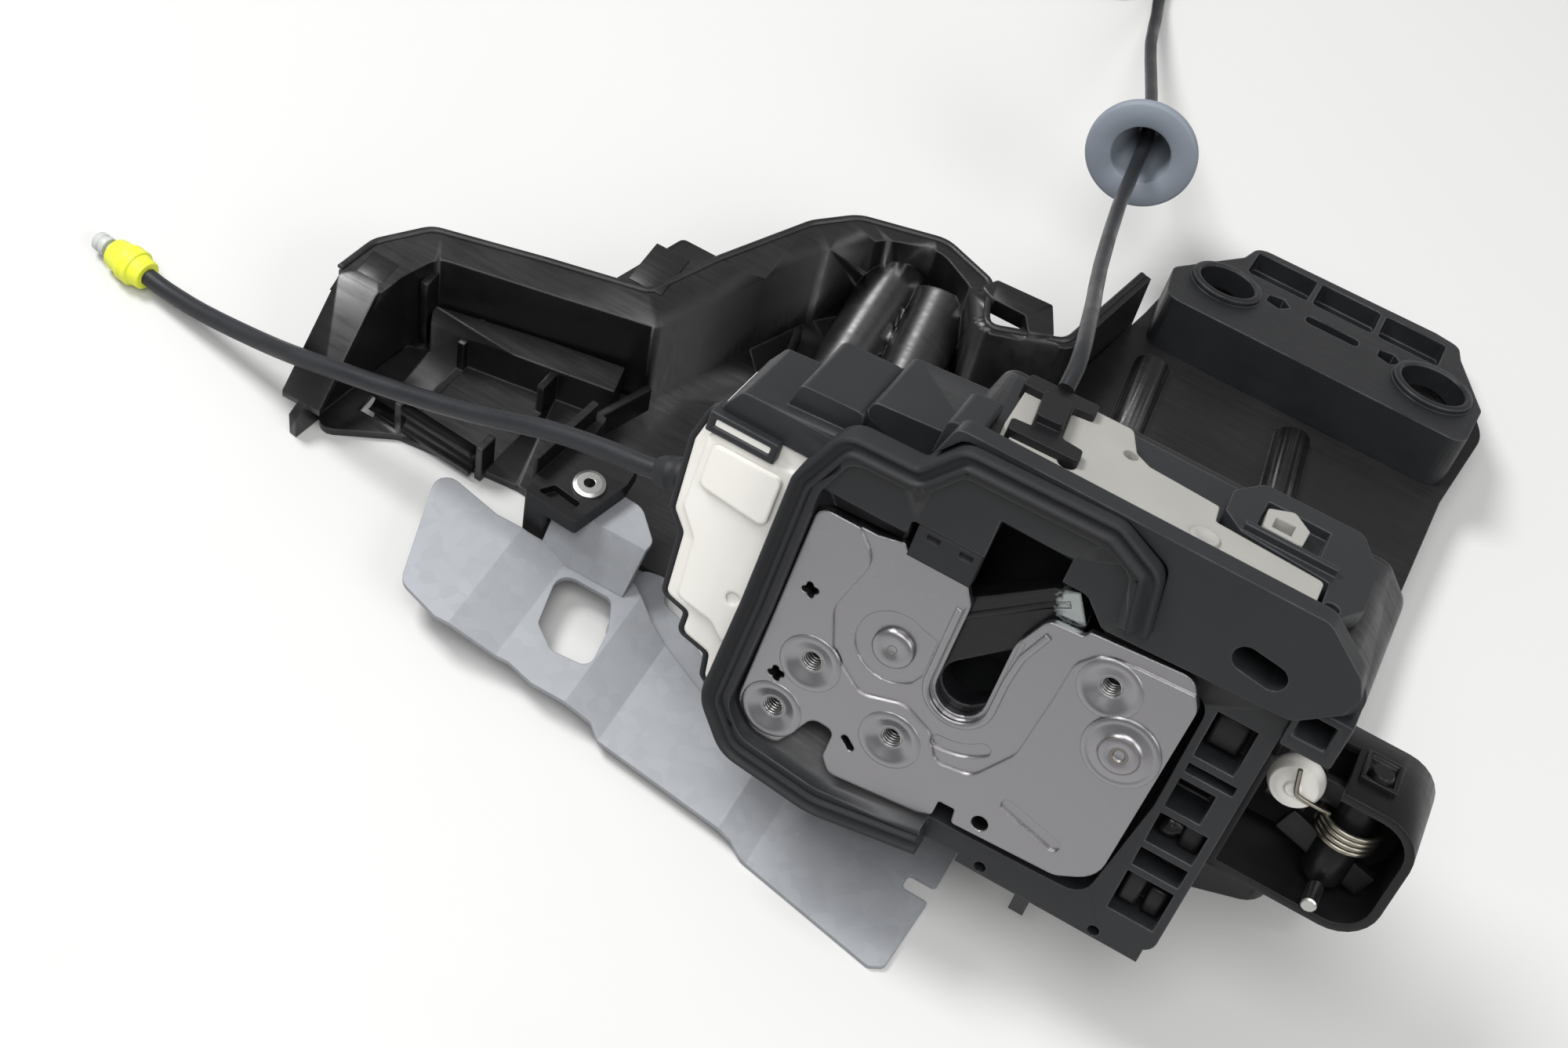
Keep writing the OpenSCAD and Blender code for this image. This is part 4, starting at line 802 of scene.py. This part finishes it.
hand_over(end_block, housing_grey, "lock_body")


# %% Beige plate on the housing's top
def flat_plate(name, corners, low, high):
    plate = flat_curve(name, rounded(corners, closed=True), True)
    plate.data.dimensions = "2D"
    plate.data.fill_mode = "BOTH"
    plate.data.extrude = (high - low) / 2 * MM
    select_only(plate)
    bpy.ops.object.convert(target="MESH")
    at_origin(bpy.context.object, Matrix.Translation((0, 0, (low + high) / 2 * MM)))
    return tidy_mesh(bpy.context.object)


PLATE_LOW, PLATE_HIGH = 119.5, 124
top_corners = [(-20, 35, 2), (5, 36, 2), (8.4, 27.4, 2), (12.4, 24.8, 2), (29.6, 23.6, 1), (30.4, 17.2, 1),
               (56.4, 15.6, 1.5), (56.6, 4.9, 1), (-5, 4.9, 1), (-14, 5.6, 3), (-19, 12, 3)]
plate_holes = [(-3, 10, 2.2), (7.6, 25.6, 1.8)]
top_plate = flat_plate("beige_top_plate", top_corners, PLATE_LOW, PLATE_HIGH)
for x, y, radius in plate_holes:
    middle = (x * MM, y * MM, (PLATE_HIGH + 2) * MM)
    bpy.ops.mesh.primitive_cylinder_add(vertices=32, radius=radius * MM, depth=20 * MM, location=middle)
    cut(top_plate, at_origin(bpy.context.object))
ease_edges(top_plate, 0.4, LEAN)
hand_over(top_plate, beige_plastic, "lock_body", ["cable_plate"])
BOSS_X, BOSS_Y = 30, 9
boss_section = [(0, 0.5), (1.6, 0.5), (2, 0.8), (3.2, 0.8), (3.5, 0.5), (3.6, -0.3), (0, -0.3)]
boss = turned_piece("round_boss", boss_section, in_latch(BOSS_X, BOSS_Y, PLATE_HIGH), UPWARDS)
hand_over(boss, beige_plastic, "lock_body")

# %% The shield's bowl without its ladder, and what covers or stiffens it
shield = copy_of("shield", "open_shield")
cut(shield, box("ladder", (-182, 66, 2.6), (-144, 87.6, 18)))
tidy_mesh(shield, smooth_degrees=22)
hand_over(shield, shield_black, "lock_body", ["shield"])
FLOOR_RIB_PLACE = (-129.5 * MM, 95 * MM, 0)
FLOOR_RIB_DEGREES = 68
across_bowl = Matrix.Translation(FLOOR_RIB_PLACE) @ Matrix.Rotation(math.radians(FLOOR_RIB_DEGREES), 4, "Z")
shield_blocks = [
    ("flange_patch", (-203.4, 78.6, 31.4), (-194.8, 87, 34.1), 0.3, Matrix.Identity(4)),
    ("tab_patch", (-142, 119.4, 31.4), (-131.4, 135, 34.5), 0.3, Matrix.Identity(4)),
    ("wall_rib", (-189.5, 89, 2), (-187, 97, 29), 0.4, Matrix.Identity(4)),
    ("floor_rib", (-12.5, -1.1, 2), (12.5, 1.1, 12), 0.4, across_bowl),
]
for name, low, high, easing, turn in shield_blocks:
    block = ease_edges(box(name, low, high), easing, turn)
    hand_over(block, shield_black, "lock_body")

# %% [markdown]
# ## The key lever's box
# An open box carries the lever: a cube with two big rounded corners, hollowed by an inset and an extrusion.
# Its lid stops short of the housing, so the white knob shows from above. A frame stands round the lid's slot.

# %% Box
BOX_RIGHT = 104
BOX_TOP = 79
BOX_CORNER = 10.5
BOX_WALL = 2.2
BOX_HOLLOW = 23.8
lid_slot = ((87, 25, 70), (91.4, 31.4, 82))


def is_round_corner(a, b):
    return abs(a.x - BOX_RIGHT) < 0.1 and abs(b.x - BOX_RIGHT) < 0.1 and abs(a.z - b.z) < 0.1


lever_box = box("lever_box", (64.2, 15, 43.4), (BOX_RIGHT, 41.2, BOX_TOP))
pick_edges(lever_box, is_round_corner)
bpy.ops.mesh.bevel(offset=BOX_CORNER * MM, segments=7, affect="EDGES")
pick_faces(lever_box, lambda normal: normal.y < -0.9)
bpy.ops.mesh.inset(thickness=BOX_WALL * MM, depth=0)
bpy.ops.mesh.extrude_region_move(TRANSFORM_OT_translate={"value": (0, BOX_HOLLOW * MM, 0)})
bpy.ops.object.mode_set(mode="OBJECT")
cut(lever_box, box("open_top", (66.5, 14, 70), (83, 34, 82)))
cut(lever_box, box("lid_slot", *lid_slot))
cut(lever_box, box("back_window", (70, 35, 52), (80, 45, 66)))
ease_edges(lever_box, 0.5, LEAN)
hand_over(lever_box, lever_black, "lock_body", ["arm_housing"])

# %% Frame round the slot in the lid
lid_frame = box("lid_frame", (84.6, 22.4, BOX_TOP - 1), (93.6, 33.6, BOX_TOP + 1.4))
pick_faces(lid_frame, lambda normal: normal.z > 0.9)
bpy.ops.mesh.inset(thickness=1.2 * MM, depth=0)
bpy.ops.mesh.inset(thickness=0.3 * MM, depth=-1.2 * MM)
ease_edges(lid_frame, 0.3)
cut(lid_frame, box("frame_slot", *lid_slot))
at_origin(tidy_mesh(lid_frame), LEAN)
hand_over(lid_frame, lever_black, "lock_body")

# %% Lever: a drum on the key axis, a blade below and the arm that carries the knob
KEY_X, KEY_Y = 89, 26
drum_section = [(0, 46.4), (2.9, 46.4), (3, 48.6), (5, 48.9), (5.3, 49.6), (5.3, 58.8), (5, 59.4),
                (4.9, 60.2), (4.9, 67.4), (4.2, 75.6), (2.9, 76), (2.9, 81), (2.5, 81.6), (0, 81.6)]
lever_bars = [("lever_blade", (-14, -1.5, -3.4), (10.6, 1.5, 3.4), 54.4, 16),
              ("knob_arm", (-15.6, -1.5, -3.2), (1, 1.5, 3.2), 70.6, 0)]
PIN_Y, PIN_HEIGHT = 20, 49.5
pin_section = [(0, -8.6), (1.5, -8.6), (1.9, -8.2), (1.9, -1), (0, -1)]
drum = turned_piece("lever_drum", drum_section, in_latch(KEY_X, KEY_Y, 0), UPWARDS)
hand_over(drum, lever_black, "key_lever", ["key_lever"])
for name, low, high, height, tilt in lever_bars:
    bar = box(name, low, high)
    pick_faces(bar, lambda normal: abs(normal.y) > 0.9)
    bpy.ops.mesh.inset(thickness=1.2 * MM, depth=-0.3 * MM, use_individual=True)
    on_axis = Matrix.Translation((KEY_X * MM, KEY_Y * MM, height * MM))
    ease_edges(bar, 0.5, LEAN @ on_axis @ Matrix.Rotation(math.radians(tilt), 4, "Y"))
    hand_over(bar, lever_black, "key_lever")
end_pin = turned_piece("bright_pin", pin_section, in_latch(KEY_X, PIN_Y, PIN_HEIGHT), TO_THE_BACK)
hand_over(end_pin, rivet_steel, "key_lever", ["key_pin"])

# %% [markdown]
# ## Knob and spring
# The cap is a small turned white knob. The spring is wound round the drum, and its leg rests on the cap.

# %% Knob
KNOB_X, KNOB_HEIGHT = 73.4, 70
knob_section = [(0, 6.6), (1.7, 6.6), (2.1, 6.0), (3.8, 6.0), (4.4, 5.7), (5.5, 5.5), (6.0, 4.8), (6.1, 3.8),
                (6.5, 3.4), (6.7, 2.4), (6.7, 1.5), (4, 1.4), (0, 1.4)]
knob = turned_piece("knob_cap", knob_section, in_latch(KNOB_X, KEY_Y, KNOB_HEIGHT), TO_THE_FRONT)
hand_over(knob, knob_white, "key_lever", ["key_knob"])

# %% Spring, and its leg on the cap
SPRING_RADIUS = 7.2
SPRING_PITCH = 1.5
SPRING_FOOT = 61
winding = [Vector((KEY_X + across, KEY_Y + deep, SPRING_FOOT + up))
           for across, deep, up in helix(SPRING_RADIUS, SPRING_PITCH, steps=24, count=100)]
fixed_leg = [Vector((KEY_X + SPRING_RADIUS, y, SPRING_FOOT)) for y in (38, 27.5)]
last_bend = winding[-1] + Vector((-4, 1.2, 0.3))
key_spring = wire_mesh("key_spring_wire", fixed_leg + winding[2:] + [last_bend], 0.7)
hand_over(key_spring, spring_steel, "lock_body", ["key_spring"])
leg_route = [(83.4, 22.5, 67), (79.5, 20.6, 68.2), (75.4, 19, 69.6), (74.2, 18.8, 70.8), (73.4, 18.8, 73.4),
             (72.6, 18.8, 76.4)]
spring_leg = wire_mesh("spring_leg", smooth(leg_route, 3), 0.62)
hand_over(spring_leg, spring_steel, "key_lever")

# %% [markdown]
# ## Open mechanism beside the plate
# Between the plate and the housing's right wall the locking levers show, black and thick with bearing grease.

# %% Levers
lock_levers = [((50.6, 5, 30), (55.4, 10, 40.2)), ((56.5, 6, 50.8), (61.6, 11, 59.2)),
               ((50.6, 6.5, 79.6), (58.6, 11, 88.4)), ((56.6, 6, 29), (61.2, 10, 37))]
for number, (low, high) in enumerate(lock_levers, 1):
    lever = box(f"lock_lever_{number}", low, high)
    pick_faces(lever, lambda normal: normal.y < -0.9)
    bpy.ops.mesh.inset(thickness=1.1 * MM, depth=0.4 * MM)
    ease_edges(lever, 0.7, LEAN)
    hand_over(lever, lever_black, "lock_body")

# %% Grease
LUMP_SIZE = 4
LUMP_HEIGHT = 2.2
GREASE_DEPTH = 3
grease_spots = [(54, 8.5, 54, 3.4, 2.8), (57.6, 9, 45.5, 3.6, 2.4), (53, 8.6, 74, 2.6, 1.2),
                (58.2, 8.6, 74, 3, 1.2), (58.6, 9, 39, 2.6, 1.4)]
lumps = bpy.data.textures.new("grease_lumps", "CLOUDS")
lumps.noise_scale = LUMP_SIZE * MM
for number, (x, y, z, wide, tall) in enumerate(grease_spots, 1):
    spot = (x * MM, y * MM, z * MM)
    spread = (wide, GREASE_DEPTH, tall)
    bpy.ops.object.select_all(action="DESELECT")
    bpy.ops.mesh.primitive_uv_sphere_add(segments=32, ring_count=16, radius=MM, location=spot, scale=spread)
    grease = bpy.context.object
    grease.name = f"grease_{number}"
    bpy.ops.object.transform_apply(location=True, rotation=False, scale=True)
    blobs = grease.modifiers.new("blobs", "DISPLACE")
    blobs.texture = lumps
    blobs.texture_coords = "LOCAL"
    blobs.strength = LUMP_HEIGHT * MM
    bpy.ops.object.modifier_apply(modifier=blobs.name)
    bpy.ops.object.shade_smooth()
    at_origin(grease, LEAN)
    hand_over(grease, bearing_grease, "lock_body")

# %% [markdown]
# ## Grommet and end fittings
# The grommet is one moulded piece: a wide flange that seals the door's hole, a bell, and a stepped neck.
# Each cable ends in its own fitting, and a tie holds the coil.

# %% Grommet
grommet_section = [(8.7, -4.2), (9.2, -4.6), (15.4, -4.6), (16.1, -4.2), (16.4, -3.4), (16.4, -2.2),
                   (15.8, -1.5), (13.2, -1.0), (12.2, -0.2), (11.7, 1.2), (11.5, 3.6), (10.9, 4.6),
                   (9.9, 5.2), (9.4, 6.4), (9.2, 8), (9.6, 8.6), (9.6, 9.4), (9.1, 10), (8.9, 12.6),
                   (8.2, 13.6), (7.3, 14.2), (6.9, 16), (6.7, 19.6), (6.0, 20.6), (5.3, 21.4), (5.0, 24.6),
                   (4.6, 25.2), (3.4, 25.0), (3.4, 10), (5.8, 6), (7.6, 2.6), (8.7, -4.2)]
before, foot, after = [Vector(point) for point in handle_route[6:9]]
grommet = turned_piece("cable_grommet", grommet_section, foot * MM, after - before, steps=64)
hand_over(grommet, grommet_blue, "lock_body", ["grommet"])

# %% Sleeve, ferrule and tip of the sill cable
sleeve_section = [(2.7, 0.3), (5.1, 0.3), (5.4, 0.8), (5.4, 2.2), (4.8, 2.8), (4.5, 5), (4.7, 5.4),
                  (4.5, 5.9), (4.2, 8), (4.4, 8.4), (4.2, 8.9), (3.9, 11), (3.4, 12), (2.7, 12.2),
                  (2.7, 0.3)]
ferrule_section = [(0, 0.2), (3.9, 0.2), (4.3, 0.6), (4.6, 3.4), (4.9, 4.0), (5.3, 4.1), (5.5, 4.5),
                   (5.5, 5.7), (5.3, 6.0), (5.3, 6.7), (5.5, 7.0), (5.5, 8.3), (5.2, 8.7), (5.0, 9.0),
                   (4.8, 9.5), (4.7, 11.6), (4.4, 12), (4.4, 13.2), (4.0, 13.8), (0, 13.9)]
tip_section = [(0, 13.6), (1.7, 13.6), (1.7, 16), (2.7, 16.1), (2.9, 16.5), (2.9, 17.6), (2.55, 17.8),
               (2.55, 18.4), (2.85, 18.7), (2.75, 20.3), (2.2, 20.9), (0, 20.9)]
sill_start, sill_next = [Vector(point) for point in sill_route[:2]]
sill_last, sill_end = [Vector(point) for point in sill_route[-2:]]
sill_away = (sill_end - sill_last).normalized()
sleeve = turned_piece("sill_boot", sleeve_section, sill_start * MM, sill_next - sill_start)
hand_over(sleeve, seal_rubber, "lock_body", ["sill_sleeve"])
ferrule = turned_piece("yellow_ferrule", ferrule_section, sill_end * MM, sill_away)
hand_over(ferrule, ferrule_yellow, "lock_body", ["sill_ferrule"])
tip = turned_piece("grey_tip", tip_section, sill_end * MM, sill_away)
hand_over(tip, tip_grey, "lock_body", ["sill_tip"])

# %% Barrel on the handle cable's end
barrel_section = [(0, 0), (2.4, 0), (3.1, 0.6), (3.1, 8.2), (2.7, 8.9), (2.2, 9.2), (2.2, 12), (2.5, 12.3),
                  (2.5, 13.1), (2.2, 13.4), (2.1, 17), (1.8, 19.6), (1.2, 20.2), (0, 20.4)]
barrel_foot = coil_line[-1] * MM + Vector((0, 0.3 * MM, 0))
barrel = turned_piece("handle_cable_barrel", barrel_section, barrel_foot, (0, -1, -0.05))
hand_over(barrel, tip_grey, "lock_body", ["handle_end"])

# %% The coil's tie
TIE_DEGREES = 60
upright = Vector((0, 0, 1))
outwards = Vector((math.cos(math.radians(TIE_DEGREES)), math.sin(math.radians(TIE_DEGREES)), 0))
tie_turn = Matrix((outwards, upright, outwards.cross(upright))).transposed().to_4x4()
round_coil = Matrix.Translation((COIL_MIDDLE + outwards * COIL_RADIUS) * MM) @ tie_turn
tie_corners = [(-4.6, 0.15, 1), (4.6, 0.15, 1), (4.6, 3.6, 1.5), (2.3, 8.4, 1.5), (-2.3, 8.4, 1.5),
               (-4.6, 3.6, 1.5)]
tie_section = [(-0.25, -1.6), (0.25, -1.6), (0.25, 1.6), (-0.25, 1.6)]
tie_line = rounded(tie_corners, closed=True)
tie = sweep("coil_tie", tie_line, tie_section, closed=True, turn=round_coil)
hand_over(tie, lever_black, "lock_body")
tie_head = ease_edges(box("tie_head", (-2.4, 8.3, -2.3), (2.4, 11, 2.3)), 0.5, round_coil)
hand_over(tie_head, lever_black, "lock_body")

# %% [markdown]
# ## Rims of the shield and the handle bracket
# The shield's flange ends in a fine raised rim that catches a line of light. Each socket has a rounded lip.

# %% Flange rim
FLANGE_TOP = 34
flange_corners = [(-207.2, 77, 0), (-205, 90, 8), (-195, 103, 8), (-163, 112, 10), (-135, 119, 4),
                  (-125, 141, 8), (-110, 168, 12), (-100, 178, 12), (-75, 185, 10), (-58, 179, 4),
                  (-52, 163.4, 4), (-42, 167.6, 6), (-30.4, 172, 6), (-22.2, 208, 0)]
rim_section = [(-1.0, -0.6), (1.0, -0.6), (1.0, 0.3), (0.5, 0.75), (-0.5, 0.75), (-1.0, 0.3)]
on_flange = Matrix.Translation((0, 0, FLANGE_TOP * MM))
flange_rim = sweep("flange_rim", rounded(flange_corners), rim_section, turn=on_flange)
hand_over(flange_rim, shield_black, "lock_body")


# %% Socket lips
def lip_round(radius):
    inner, outer = radius + 0.05, radius + 2.3
    crown = [(radius + 0.5, 0.5), (radius + 1.5, 0.5), (radius + 2.2, 0.1)]
    return [(inner, -1.2), (inner, 0.1), *crown, (outer, -1.2), (inner, -1.2)]


SOCKET_Y, SOCKET_TOP = 216.5, 80.4
for name, x, radius in (("small_socket_lip", -1, 8.6), ("large_socket_lip", 65.4, 10)):
    socket_lip = turned_piece(name, lip_round(radius), in_latch(x, SOCKET_Y, SOCKET_TOP), UPWARDS)
    hand_over(socket_lip, bracket_grey, "lock_body")

# %% The cables take their places
hand_over(sill_cable, cable_black, "lock_body", ["sill_cable"])
hand_over(handle_cable, cable_grey, "lock_body", ["handle_cable", "handle_coil"])

# %% Sizes of the dressed lock, and the end of the script
low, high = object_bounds()
print("dressed lock's box in mm", [round(v / MM) for v in (high - low)])
